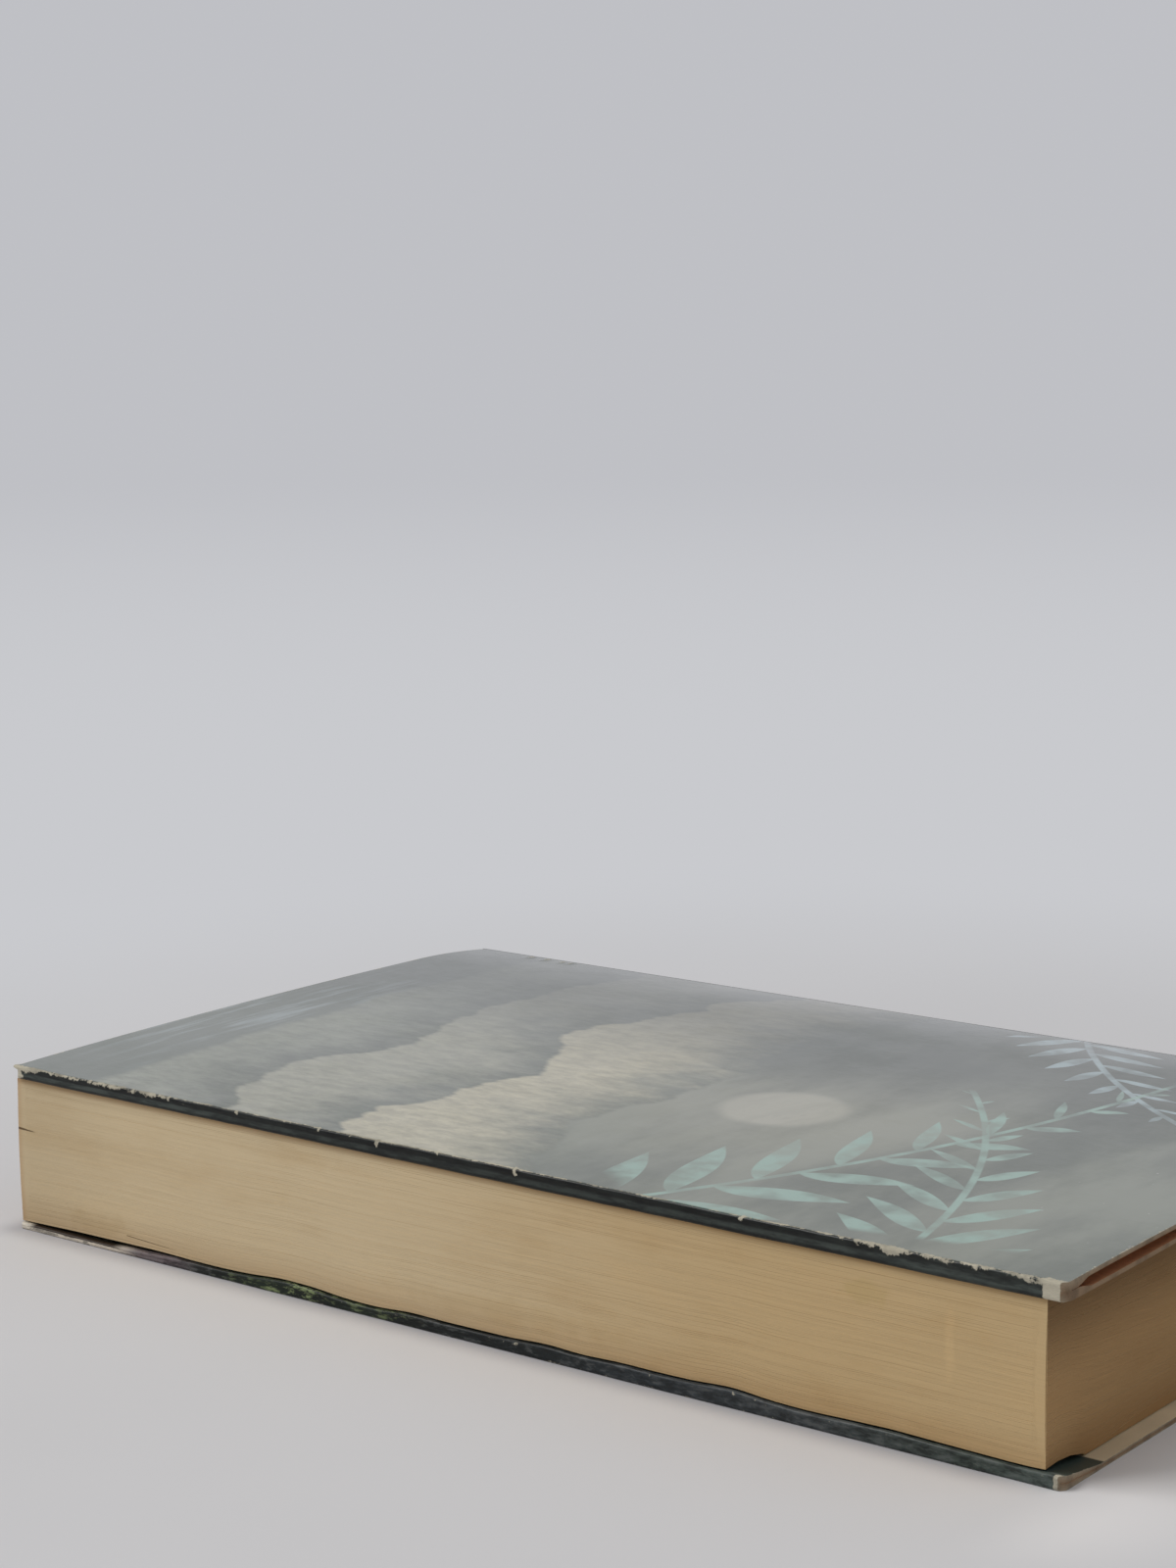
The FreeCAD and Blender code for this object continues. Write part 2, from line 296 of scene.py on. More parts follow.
class Graph:
    """Adds nodes to a tree and joins them, so that a material reads like a sum."""

    def __init__(self, tree: bpy.types.NodeTree) -> None:
        """Takes the tree that the nodes go into."""
        self.tree = tree

    def feed(self, socket: Socket, value: Value | Sequence[float]) -> None:
        """Links a socket to another, or sets its own value.

        Args:
            socket: the input.
            value: an output socket, a number, or the numbers of a vector or colour.
        """
        if isinstance(value, bpy.types.NodeSocket):
            self.tree.links.new(value, socket)
        elif isinstance(value, (tuple, list)) and socket.type == "RGBA" and len(value) == 3:
            socket.default_value = (*value, 1.0)
        else:
            socket.default_value = value

    def node(self, kind: str, *values: object, out: int = 0, **settings: object) -> Socket:
        """Adds a node.

        Args:
            kind: the node's type.
            values: what its inputs get, in order. None leaves an input as it is.
            out: which of its outputs to give back.
            settings: properties of the node, set first.

        Returns:
            The output.
        """
        item = self.tree.nodes.new(kind)
        for name, setting in settings.items():
            setattr(item, name, setting)
        for socket, value in zip([s for s in item.inputs if s.enabled], values):
            if value is not None:
                self.feed(socket, value)
        return [s for s in item.outputs if s.enabled][out]

    def math(self, operation: str, *values: Value, clamp: bool = False) -> Socket:
        """One step of arithmetic."""
        return self.node("ShaderNodeMath", *values, operation=operation, use_clamp=clamp)

    def times(self, *values: Value) -> Socket:
        """The product of the values."""
        return reduce(lambda done, value: self.math("MULTIPLY", done, value), values)

    def plus(self, *values: Value) -> Socket:
        """The sum of the values."""
        return reduce(lambda done, value: self.math("ADD", done, value), values)

    def minus(self, first: Value, second: Value) -> Socket:
        """The first value less the second."""
        return self.math("SUBTRACT", first, second)

    def rest(self, share: Value) -> Socket:
        """What a share leaves of 1."""
        return self.math("SUBTRACT", 1.0, share)

    def over(self, first: Value, second: Value, clamp: bool = False) -> Socket:
        """The first value divided by the second."""
        return self.math("DIVIDE", first, second, clamp=clamp)

    def size(self, value: Value) -> Socket:
        """A value without its sign."""
        return self.math("ABSOLUTE", value)

    def length(self, *parts: Value) -> Socket:
        """How long a line with these parts is."""
        return self.math("SQRT", self.plus(*(self.times(part, part) for part in parts)))

    def joined(self, *parts: Value) -> Socket:
        """A vector made of three parts."""
        return self.node("ShaderNodeCombineXYZ", *parts)

    def scale(self, value: object, factor: Value) -> Socket:
        """Multiplies a vector or a colour by one number.

        Args:
            value: the vector or colour.
            factor: the number.

        Returns:
            The product.
        """
        output = self.vector("SCALE", value)
        self.feed(output.node.inputs["Scale"], factor)
        return output

    def vector(self, operation: str, *values: object) -> Socket:
        """One step of arithmetic on vectors."""
        return self.node("ShaderNodeVectorMath", *values, operation=operation)

    def stretch(self, place: Value, factors: Sequence[float]) -> Socket:
        """Multiplies a place's parts, so that a pattern stretches along an axis."""
        return self.vector("MULTIPLY", place, tuple(factors))

    def parts(self, place: Value) -> tuple[Socket, Socket, Socket]:
        """The three parts of a vector."""
        return tuple(self.node("ShaderNodeSeparateXYZ", place).node.outputs)

    def rise(self, value: Value, low: Value, high: Value) -> Socket:
        """Goes smoothly from 0 where the value is low to 1 where it is high."""
        settings = {"interpolation_type": "SMOOTHSTEP", "clamp": True}
        return self.node("ShaderNodeMapRange", value, low, high, 0.0, 1.0, **settings)

    def scaled(self, value: Value, low: Value, high: Value) -> Socket:
        """Turns 0 to 1 into low to high."""
        return self.node("ShaderNodeMapRange", value, 0.0, 1.0, low, high, clamp=True)

    def noise(self, place: Value, scale: float, detail: float = 2.0, rough: float = 0.5) -> Socket:
        """Cloudy noise.

        Args:
            place: the vector that it is read at.
            scale: how many patches go into one unit.
            detail: how many finer layers there are.
            rough: how strong they are.

        Returns:
            A value from about 0.25 to 0.75, 0.5 on average.
        """
        return self.node("ShaderNodeTexNoise", place, scale, detail, rough)

    def mix(self, factor: Value, first: object, second: object, mode: str = "MIX") -> Socket:
        """Mixes two colours."""
        settings = {"data_type": "RGBA", "blend_type": mode}
        return self.node("ShaderNodeMix", factor, first, second, **settings)

    def ramp(self, value: Value, stops: Sequence[tuple[float, Colour]]) -> Socket:
        """Looks a value up among colours.

        Args:
            value: from 0 to 1.
            stops: the places and their colours, in order.

        Returns:
            The colour.
        """
        output = self.node("ShaderNodeValToRGB", value)
        ramp = output.node.color_ramp
        while len(ramp.elements) < len(stops):
            ramp.elements.new(0.5)
        for element, (place, colour) in zip(ramp.elements, stops):
            element.position = place
            element.color = (*colour, 1.0)
        return output

    def attribute(self, name: str) -> tuple[Socket, Socket, Socket]:
        """The three channels of a colour attribute."""
        colour = self.node("ShaderNodeAttribute", attribute_name=name)
        return tuple(self.node("ShaderNodeSeparateColor", colour).node.outputs)

    def bump(self, height: Value, strength: float, depth: float) -> Socket:
        """A normal from a height.

        Args:
            height: from 0 to 1.
            strength: share of the full effect.
            depth: what a height of 1 stands for, in millimetres.

        Returns:
            The normal.
        """
        item = self.tree.nodes.new("ShaderNodeBump")
        item.inputs["Strength"].default_value = strength
        item.inputs["Distance"].default_value = depth * MM
        self.feed(item.inputs["Height"], height)
        return item.outputs["Normal"]


class Effect(Enum):
    """Shader node groups that several finishes share."""

    FILM = "Laminate film"
    WORN = "Broken-up wear"
    FIBRE = "Card fibre"
    LEAVES = "Leaf edges"
    SPRAY = "Leaf spray"


class EffectShop:
    """Builds each shared shader node group once, and places it in materials."""

    def __init__(self) -> None:
        """Starts with no group built."""
        self.groups: dict[Effect, bpy.types.NodeTree] = {}

    def place(self, graph: Graph, effect: Effect, **inputs: object) -> dict[str, Socket]:
        """Puts a group into a material.

        Args:
            graph: the material's nodes.
            effect: which group.
            inputs: values by input name, with _ for a space.

        Returns:
            The group's outputs by name.
        """
        if effect not in self.groups:
            self.groups[effect] = self.build(effect)
        item = graph.tree.nodes.new("ShaderNodeGroup")
        item.node_tree = self.groups[effect]
        for name, value in inputs.items():
            graph.feed(item.inputs[name.replace("_", " ")], value)
        return {socket.name: socket for socket in item.outputs}

    def build(self, effect: Effect) -> bpy.types.NodeTree:
        """Builds one of the groups.

        Args:
            effect: which group.

        Returns:
            The group, with named inputs and outputs.
        """
        makers: dict[Effect, Callable[[Graph, dict[str, Socket]], dict[str, Socket]]] = {
            Effect.FILM: self.film,
            Effect.WORN: self.worn,
            Effect.FIBRE: self.fibre,
            Effect.LEAVES: self.leaves,
            Effect.SPRAY: self.spray,
        }
        sockets: dict[Effect, tuple[dict[str, float | None], dict[str, str]]] = {
            Effect.FILM: (
                {"Place": None, "Roughness": 0.35, "Scuffs": 0.3},
                {"Roughness": "Float", "Normal": "Vector"},
            ),
            Effect.WORN: ({"Place": None, "Amount": 0.5, "Grain": 2.0}, {"Mask": "Float"}),
            Effect.FIBRE: (
                {"Place": None, "Darkness": 0.3},
                {"Tone": "Float", "Height": "Float"},
            ),
            Effect.LEAVES: (
                {"Place": None, "Pitch": 0.2, "Slump": 0.0},
                {"Tone": "Float", "Height": "Float"},
            ),
            Effect.SPRAY: (
                {"Across": 0.0, "Along": 0.0, "Angle": 0.0, "Length": 40.0, "Leaf": 9.0},
                {"Mask": "Float"},
            ),
        }
        inputs, outputs = sockets[effect]
        tree = bpy.data.node_groups.new(effect.value, "ShaderNodeTree")
        for name, default in inputs.items():
            kind = "NodeSocketVector" if default is None else "NodeSocketFloat"
            socket = tree.interface.new_socket(name=name, in_out="INPUT", socket_type=kind)
            if default is not None:
                socket.default_value = default
        for name, kind in outputs.items():
            tree.interface.new_socket(name=name, in_out="OUTPUT", socket_type=f"NodeSocket{kind}")
        start = tree.nodes.new("NodeGroupInput")
        end = tree.nodes.new("NodeGroupOutput")
        graph = Graph(tree)
        made = makers[effect](graph, {name: start.outputs[name] for name in inputs})
        for name, socket in made.items():
            tree.links.new(socket, end.inputs[name])
        return tree

    @staticmethod
    def film(graph: Graph, given: dict[str, Socket]) -> dict[str, Socket]:
        """Satin plastic film: slightly uneven, with rubbed patches and fine scratches.

        Args:
            graph: the group's nodes.
            given: the group's inputs, by name.

        Returns:
            The group's outputs, by name.
        """
        patches = graph.noise(given["Place"], 0.06, 4.0, 0.6)
        fine = graph.noise(graph.stretch(given["Place"], (0.5, 4.0, 4.0)), 0.8, 3.0, 0.6)
        rubbed = graph.rise(graph.plus(patches, graph.times(fine, 0.35)), 0.55, 0.85)
        extra = graph.times(rubbed, given["Scuffs"])
        swell = graph.noise(given["Place"], 0.12, 2.0)
        grain = graph.times(graph.noise(given["Place"], 3.0, 2.0), 0.12)
        return {
            "Roughness": graph.plus(given["Roughness"], extra),
            "Normal": graph.bump(graph.plus(swell, grain), 0.35, 0.12),
        }

    @staticmethod
    def worn(graph: Graph, given: dict[str, Socket]) -> dict[str, Socket]:
        """Breaks an amount of wear up into bare flecks with sharp edges.

        Args:
            graph: the group's nodes.
            given: the group's inputs, by name.

        Returns:
            The group's outputs, by name.
        """
        coarse = graph.noise(given["Place"], 0.55, 3.0, 0.6)
        speck = graph.node("ShaderNodeTexNoise", given["Place"], given["Grain"], 3.0, 0.65)
        mixed = graph.plus(graph.times(coarse, 1.2), graph.times(speck, 1.3))
        level = graph.plus(graph.times(given["Amount"], 1.3), mixed)
        return {"Mask": graph.rise(level, 1.76, 1.96)}

    @staticmethod
    def fibre(graph: Graph, given: dict[str, Socket]) -> dict[str, Socket]:
        """Soft felted fibres of bare card.

        Args:
            graph: the group's nodes.
            given: the group's inputs, by name.

        Returns:
            The group's outputs, by name.
        """
        strands = graph.noise(graph.stretch(given["Place"], (0.6, 1.6, 6.0)), 1.6, 4.0, 0.7)
        blotch = graph.noise(given["Place"], 0.35, 3.0)
        shade = graph.times(graph.rise(blotch, 0.4, 0.7), given["Darkness"])
        tone = graph.minus(graph.scaled(graph.rise(strands, 0.3, 0.7), 0.82, 1.06), shade)
        return {"Tone": tone, "Height": strands}

    @staticmethod
    def leaves(graph: Graph, given: dict[str, Socket]) -> dict[str, Socket]:
        """Edges of stacked leaves: fine lines that wave a little, in lighter and darker groups.

        Args:
            graph: the group's nodes.
            given: the group's inputs, by name.

        Returns:
            The group's outputs, by name.
        """
        along, across, height = graph.parts(given["Place"])
        run = graph.plus(along, graph.times(across, 1.3))
        wave = graph.joined(graph.times(run, 0.02), 0.0, graph.times(height, 0.08))
        sway = graph.times(graph.noise(wave, 1.0, 2.0), 2.0)
        share = graph.over(graph.minus(height, 1.5), 24.5, clamp=True)
        middle = graph.times(share, graph.rest(share), 4.0)
        inward = graph.times(graph.rise(across, -64.0, -24.0), given["Slump"])
        slump = graph.times(graph.math("POWER", middle, 1.5), inward)
        level = graph.plus(height, sway, slump)
        row = graph.over(level, given["Pitch"])
        fine = graph.noise(graph.joined(graph.times(run, 0.05), 0.0, row), 1.0, 3.0, 0.7)
        slow = graph.joined(graph.times(run, 0.03), 3.0, graph.times(row, 0.3))
        parted = graph.rise(graph.noise(slow, 1.0, 2.0, 0.6), 0.6, 0.74)
        tone = graph.minus(graph.rise(fine, 0.25, 0.75), graph.times(parted, 0.9))
        return {"Tone": tone, "Height": fine}

    @staticmethod
    def spray(graph: Graph, given: dict[str, Socket]) -> dict[str, Socket]:
        """A curved stem with pointed leaves on both sides that get smaller to its tip.

        Args:
            graph: the group's nodes.
            given: the group's inputs, by name.

        Returns:
            The group's outputs, by name.
        """
        angle = given["Angle"]
        cos, sin = graph.math("COSINE", angle), graph.math("SINE", angle)
        across, along = given["Across"], given["Along"]
        run = graph.plus(graph.times(across, cos), graph.times(along, sin))
        side = graph.minus(graph.times(along, cos), graph.times(across, sin))
        share = graph.over(run, given["Length"])
        bend = graph.times(run, share, 0.28)
        offset = graph.minus(side, bend)
        reach = graph.size(offset)
        upper = graph.math("GREATER_THAN", offset, 0.0)
        leaf = graph.times(given["Leaf"], graph.minus(1.15, share))
        slanted = graph.minus(run, graph.times(reach, 0.9))
        shifted = graph.plus(slanted, graph.times(upper, given["Leaf"], 0.36))
        period = graph.times(given["Leaf"], 0.72)
        repeated = graph.math("MODULO", graph.plus(shifted, 500.0), period)
        local = graph.minus(repeated, graph.times(period, 0.5))
        length_share = graph.over(reach, leaf, clamp=True)
        belly = graph.math("SINE", graph.times(graph.math("POWER", length_share, 0.8), math.pi))
        width = graph.times(belly, graph.times(leaf, 0.2))
        blade = graph.rise(graph.minus(width, graph.size(local)), 0.0, 0.35)
        stem = graph.rise(reach, 0.75, 0.4)
        ends = graph.times(graph.rise(share, 0.0, 0.03), graph.rise(share, 1.0, 0.96))
        return {"Mask": graph.times(graph.math("MAXIMUM", blade, stem), ends)}


EFFECTS = EffectShop()


def shaded(colour: Colour, factor: float) -> Colour:
    """A colour made darker or lighter by one factor."""
    red, green, blue = (factor * part for part in colour)
    return red, green, blue


@dataclass(frozen=True)
class Finish:
    """A material: its name and the few values that are the same all over it."""

    name: str
    roughness: float = 0.5
    ior: float = 1.5
    coat: float = 0.0
    coat_roughness: float = 0.2

    def build(self) -> bpy.types.Material:
        """Makes the material.

        Returns:
            The material, with every socket of its shader set or fed.
        """
        material = bpy.data.materials.new(self.name)
        material.use_nodes = True
        graph = Graph(material.node_tree)
        shader = material.node_tree.nodes["Principled BSDF"]
        shader.inputs["Roughness"].default_value = self.roughness
        shader.inputs["IOR"].default_value = self.ior
        shader.inputs["Coat Weight"].default_value = self.coat
        shader.inputs["Coat Roughness"].default_value = self.coat_roughness
        place = self.place(graph)
        for name, value in self.surface(graph, place).items():
            graph.feed(shader.inputs[name], value)
        return material

    def place(self, graph: Graph) -> Socket:
        """The place on the book, in millimetres."""
        coordinates = graph.node("ShaderNodeTexCoord", out=3)
        return graph.stretch(coordinates, (1.0 / MM, 1.0 / MM, 1.0 / MM))

    def surface(self, graph: Graph, place: Socket) -> dict[str, object]:
        """What feeds the shader, by the names of its inputs."""
        raise NotImplementedError


@dataclass(frozen=True)
class CardFinish(Finish):
    """Bare cream card, as on the inside of the covers and at their cut edges."""

    colour: Colour = (0.6, 0.54, 0.42)
    # painted shade: the browner colour that stands for shade inside the fold and on the cut edges
    painted_shade_colour: Colour = (0.6, 0.29, 0.14)
    darkness: float = 0.2

    def surface(self, graph: Graph, place: Socket) -> dict[str, object]:
        """Felted fibres in slightly uneven cream, with a browner colour painted in as shade inside the
        fold.

        Args:
            graph: the material's nodes.
            place: the place on the book.

        Returns:
            The sockets and values, by the names of the shader's inputs.
        """
        _, shade, _ = graph.attribute("marks")
        fibre = EFFECTS.place(graph, Effect.FIBRE, Place=place, Darkness=self.darkness)
        # painted shade: the browner colour is mixed in where the marks' second channel is high
        tint = graph.scale(graph.mix(shade, self.colour, self.painted_shade_colour), fibre["Tone"])
        return {"Base Color": tint, "Normal": graph.bump(fibre["Height"], 0.5, 0.05)}


@dataclass(frozen=True)
class PrintFinish(Finish):
    """Laminated print that wears through to the card at its folds and corners.

    The attribute "marks" holds, at each point, how far the print is worn, how much painted light
    the fold gets (painted shade where it is low) and how much of the picture shows.
    """

    ground: Colour = (0.04, 0.055, 0.048)
    # band: the greyer green of the fold's painted light
    band: Colour = (0.05, 0.06, 0.054)
    bare: Colour = (0.68, 0.63, 0.5)
    scuffs: float = 0.12

    def picture(self, graph: Graph, place: Socket) -> Socket:
        """The print's colour, before wear."""
        cloud = graph.noise(place, 0.03, 4.0, 0.6)
        return graph.mix(graph.rise(cloud, 0.35, 0.7), self.ground, shaded(self.ground, 1.5))

    def surface(self, graph: Graph, place: Socket) -> dict[str, object]:
        """The picture, the plain band along the fold with its painted light and shade, and the wear over
        both.

        Args:
            graph: the material's nodes.
            place: the place on the book.

        Returns:
            The sockets and values, by the names of the shader's inputs.
        """
        wear, shade, art = graph.attribute("marks")
        picture = self.picture(graph, place)
        folded = self.fold_colour(graph, place, shade)
        printed = graph.mix(art, folded, picture)
        flecks = EFFECTS.place(graph, Effect.WORN, Place=place, Amount=wear, Grain=1.9)["Mask"]
        worn = graph.times(flecks, 0.88)
        fibre = EFFECTS.place(graph, Effect.FIBRE, Place=place, Darkness=0.35)
        card = graph.scale(self.bare, fibre["Tone"])
        film = EFFECTS.place(
            graph, Effect.FILM, Place=place, Roughness=self.roughness, Scuffs=self.scuffs
        )
        rough = graph.scaled(worn, film["Roughness"], 0.85)
        glossy = graph.times(graph.scaled(art, 0.1, 1.0), graph.rest(worn))
        return {
            "Base Color": graph.mix(worn, printed, card),
            "Roughness": rough,
            "Normal": film["Normal"],
            "Coat Weight": graph.times(glossy, self.coat),
        }

    def fold_colour(self, graph: Graph, place: Socket, shade: Socket) -> Socket:
        """The fold's colour: near black as painted shade, greyer green as painted light off the floor.

        Args:
            graph: the material's nodes.
            place: the place on the book.
            shade: how much painted light the fold gets, from 0 for painted shade to 1.

        Returns:
            The colour.
        """
        run = graph.stretch(place, (0.25, 1.0, 1.2))
        mottle = graph.rise(graph.noise(run, 1.0, 3.0, 0.65), 0.35, 0.65)
        dark = graph.mix(mottle, (0.002, 0.0025, 0.002), (0.011, 0.014, 0.012))
        light = graph.mix(mottle, shaded(self.band, 0.55), shaded(self.band, 1.3))
        return graph.mix(shade, dark, light)


@dataclass(frozen=True)
class Hill:
    """One ridge of the cover's picture: the height of its foot, its rise and how jagged it is."""

    foot: float
    rise: float
    grain: float
    seed: float
    colour: Colour
    mist: Colour


@dataclass(frozen=True)
class FrontPrint(PrintFinish):
    """The front cover's print: hills in the mist under a pale moon, with sprigs of leaves."""

    night: Colour = (0.1, 0.121, 0.086)
    haze: Colour = (0.265, 0.285, 0.225)
    cream: Colour = (0.5, 0.465, 0.35)
    water: Colour = (0.42, 0.5, 0.52)
    mint: Colour = (0.36, 0.56, 0.48)
    ice: Colour = (0.46, 0.6, 0.64)
    pale: Colour = (0.62, 0.61, 0.58)
    moon: tuple[float, float] = (22.0, 15.0)
    hills: tuple[Hill, ...] = (
        Hill(-10.0, 24.0, 0.02, 3.1, (0.17, 0.19, 0.14), (0.58, 0.54, 0.39)),
        Hill(-40.0, 22.0, 0.026, 8.4, (0.14, 0.16, 0.12), (0.4, 0.4, 0.31)),
        Hill(-66.0, 16.0, 0.038, 14.2, (0.13, 0.15, 0.113), (0.3, 0.32, 0.255)),
    )

    def picture(self, graph: Graph, place: Socket) -> Socket:
        """Draws the picture from the sky down. Its top is at the head of the book.

        Args:
            graph: the material's nodes.
            place: the place on the book.

        Returns:
            The picture's colour.
        """
        up, inward, _ = graph.parts(place)
        across = graph.times(inward, -1.0)
        cloud = graph.noise(graph.stretch(place, (1.0, 0.4, 0.0)), 0.035, 5.0, 0.6)
        sky = graph.mix(graph.rise(cloud, 0.38, 0.66), self.night, self.haze)
        sky = self.add_moon(graph, sky, up, across, cloud)
        for hill in self.hills:
            sky = self.add_hill(graph, sky, hill, up, across, place)
        sky = self.add_water(graph, sky, up, across, place)
        drift = graph.times(graph.minus(cloud, 0.5), 40.0)
        dusk = graph.rise(graph.plus(across, drift), 14.0, -30.0)
        dusky = graph.mix(graph.times(dusk, 0.68), sky, (0.035, 0.05, 0.03))
        return self.add_sprigs(graph, dusky, up, across, place)

    def add_moon(self, graph: Graph, under: Socket, up: Socket, across: Socket, cloud: Socket) -> Socket:
        """A disc behind thin cloud, and the wide glow round it.

        Args:
            graph: the material's nodes.
            under: the colour so far.
            up: the place along the book, which is up in the picture.
            across: the place across the picture.
            cloud: the cloud's noise.

        Returns:
            The new colour.
        """
        height = graph.minus(up, self.moon[0])
        side = graph.minus(across, self.moon[1])
        reach = graph.length(height, side)
        glow = graph.times(graph.rise(reach, 46.0, 4.0), graph.scaled(cloud, 0.3, 1.1))
        lit = graph.mix(graph.times(glow, 0.4), under, self.cream)
        veil = graph.rise(graph.noise(graph.stretch(cloud, (9.0, 9.0, 9.0)), 1.0, 2.0), 0.2, 0.8)
        disc = graph.times(graph.rise(reach, 11.5, 8.5), graph.scaled(veil, 0.3, 0.8))
        return graph.mix(disc, lit, (0.6, 0.575, 0.47))

    def add_hill(
        self, graph: Graph, under: Socket, hill: Hill, up: Socket, across: Socket, place: Socket
    ) -> Socket:
        """A ridge, darker along its top and sinking into mist at its foot.

        Args:
            graph: the material's nodes.
            under: the colour so far.
            hill: the ridge.
            up: the place along the book, which is up in the picture.
            across: the place across the picture.
            place: the place on the book.

        Returns:
            The new colour.
        """
        line = graph.joined(graph.times(across, hill.grain), hill.seed, 0.0)
        ridge = graph.times(graph.noise(line, 1.0, 6.0, 0.55), hill.rise * 2.0)
        top = graph.plus(ridge, hill.foot - hill.rise * 0.4)
        below = graph.minus(top, up)
        texture = graph.noise(graph.stretch(place, (0.5, 1.0, 0.0)), 0.16, 4.0, 0.65)
        sink = graph.rise(graph.plus(below, graph.times(texture, 30.0)), 12.0, 36.0)
        grain = graph.noise(graph.stretch(place, (0.4, 1.0, 0.0)), 0.5, 4.0, 0.7)
        tone = graph.scaled(graph.rise(grain, 0.3, 0.7), 0.78, 1.16)
        strokes = graph.scale(graph.mix(sink, hill.colour, hill.mist), tone)
        return graph.mix(graph.rise(below, 0.0, 1.6), under, strokes)

    def add_water(self, graph: Graph, under: Socket, up: Socket, across: Socket, place: Socket) -> Socket:
        """Still water at the foot of the picture, with pale-blue streaks.

        Args:
            graph: the material's nodes.
            under: the colour so far.
            up: the place along the book, which is up in the picture.
            across: the place across the picture.
            place: the place on the book.

        Returns:
            The new colour.
        """
        wander = graph.times(graph.noise(graph.stretch(place, (0.2, 1.0, 0.0)), 0.05, 3.0), 10.0)
        shore = graph.rise(graph.plus(up, wander), -74.0, -77.0)
        streaks = graph.noise(graph.stretch(place, (1.0, 0.09, 0.0)), 0.45, 4.0, 0.6)
        far = graph.rise(graph.size(graph.minus(across, 8.0)), 55.0, 12.0)
        shine = graph.times(graph.rise(streaks, 0.47, 0.66), far)
        lake = graph.mix(graph.times(shine, 0.6), (0.15, 0.174, 0.14), self.water)
        return graph.mix(shore, under, lake)

    def add_sprigs(self, graph: Graph, under: Socket, up: Socket, across: Socket, place: Socket) -> Socket:
        """Sprigs of mint leaves over the sky, and a scatter of pale seeds.

        Args:
            graph: the material's nodes.
            under: the colour so far.
            up: the place along the book, which is up in the picture.
            across: the place across the picture.
            place: the place on the book.

        Returns:
            The new colour.
        """
        sprigs = (
            (-60.0, 34.0, 28.0, 74.0, 13.0, self.ice),
            (66.0, 30.0, 146.0, 104.0, 19.0, self.mint),
            (60.0, 74.0, 190.0, 78.0, 14.0, self.mint),
        )
        colour = under
        for side, height, angle, length, leaf, tint in sprigs:
            mask = EFFECTS.place(
                graph,
                Effect.SPRAY,
                Across=graph.minus(across, side),
                Along=graph.minus(up, height),
                Angle=math.radians(angle),
                Length=length,
                Leaf=leaf,
            )["Mask"]
            mottle = graph.scaled(graph.rise(graph.noise(place, 0.18, 3.0), 0.35, 0.65), 0.35, 0.95)
            colour = graph.mix(graph.times(mask, mottle), colour, tint)
        cells = graph.node("ShaderNodeTexVoronoi", graph.stretch(place, (0.13, 0.11, 0.0)), None, 1.0)
        seeds = graph.times(graph.rise(cells, 0.24, 0.14), graph.rise(up, 66.0, 90.0))
        return graph.mix(graph.times(seeds, 0.8), colour, self.pale)


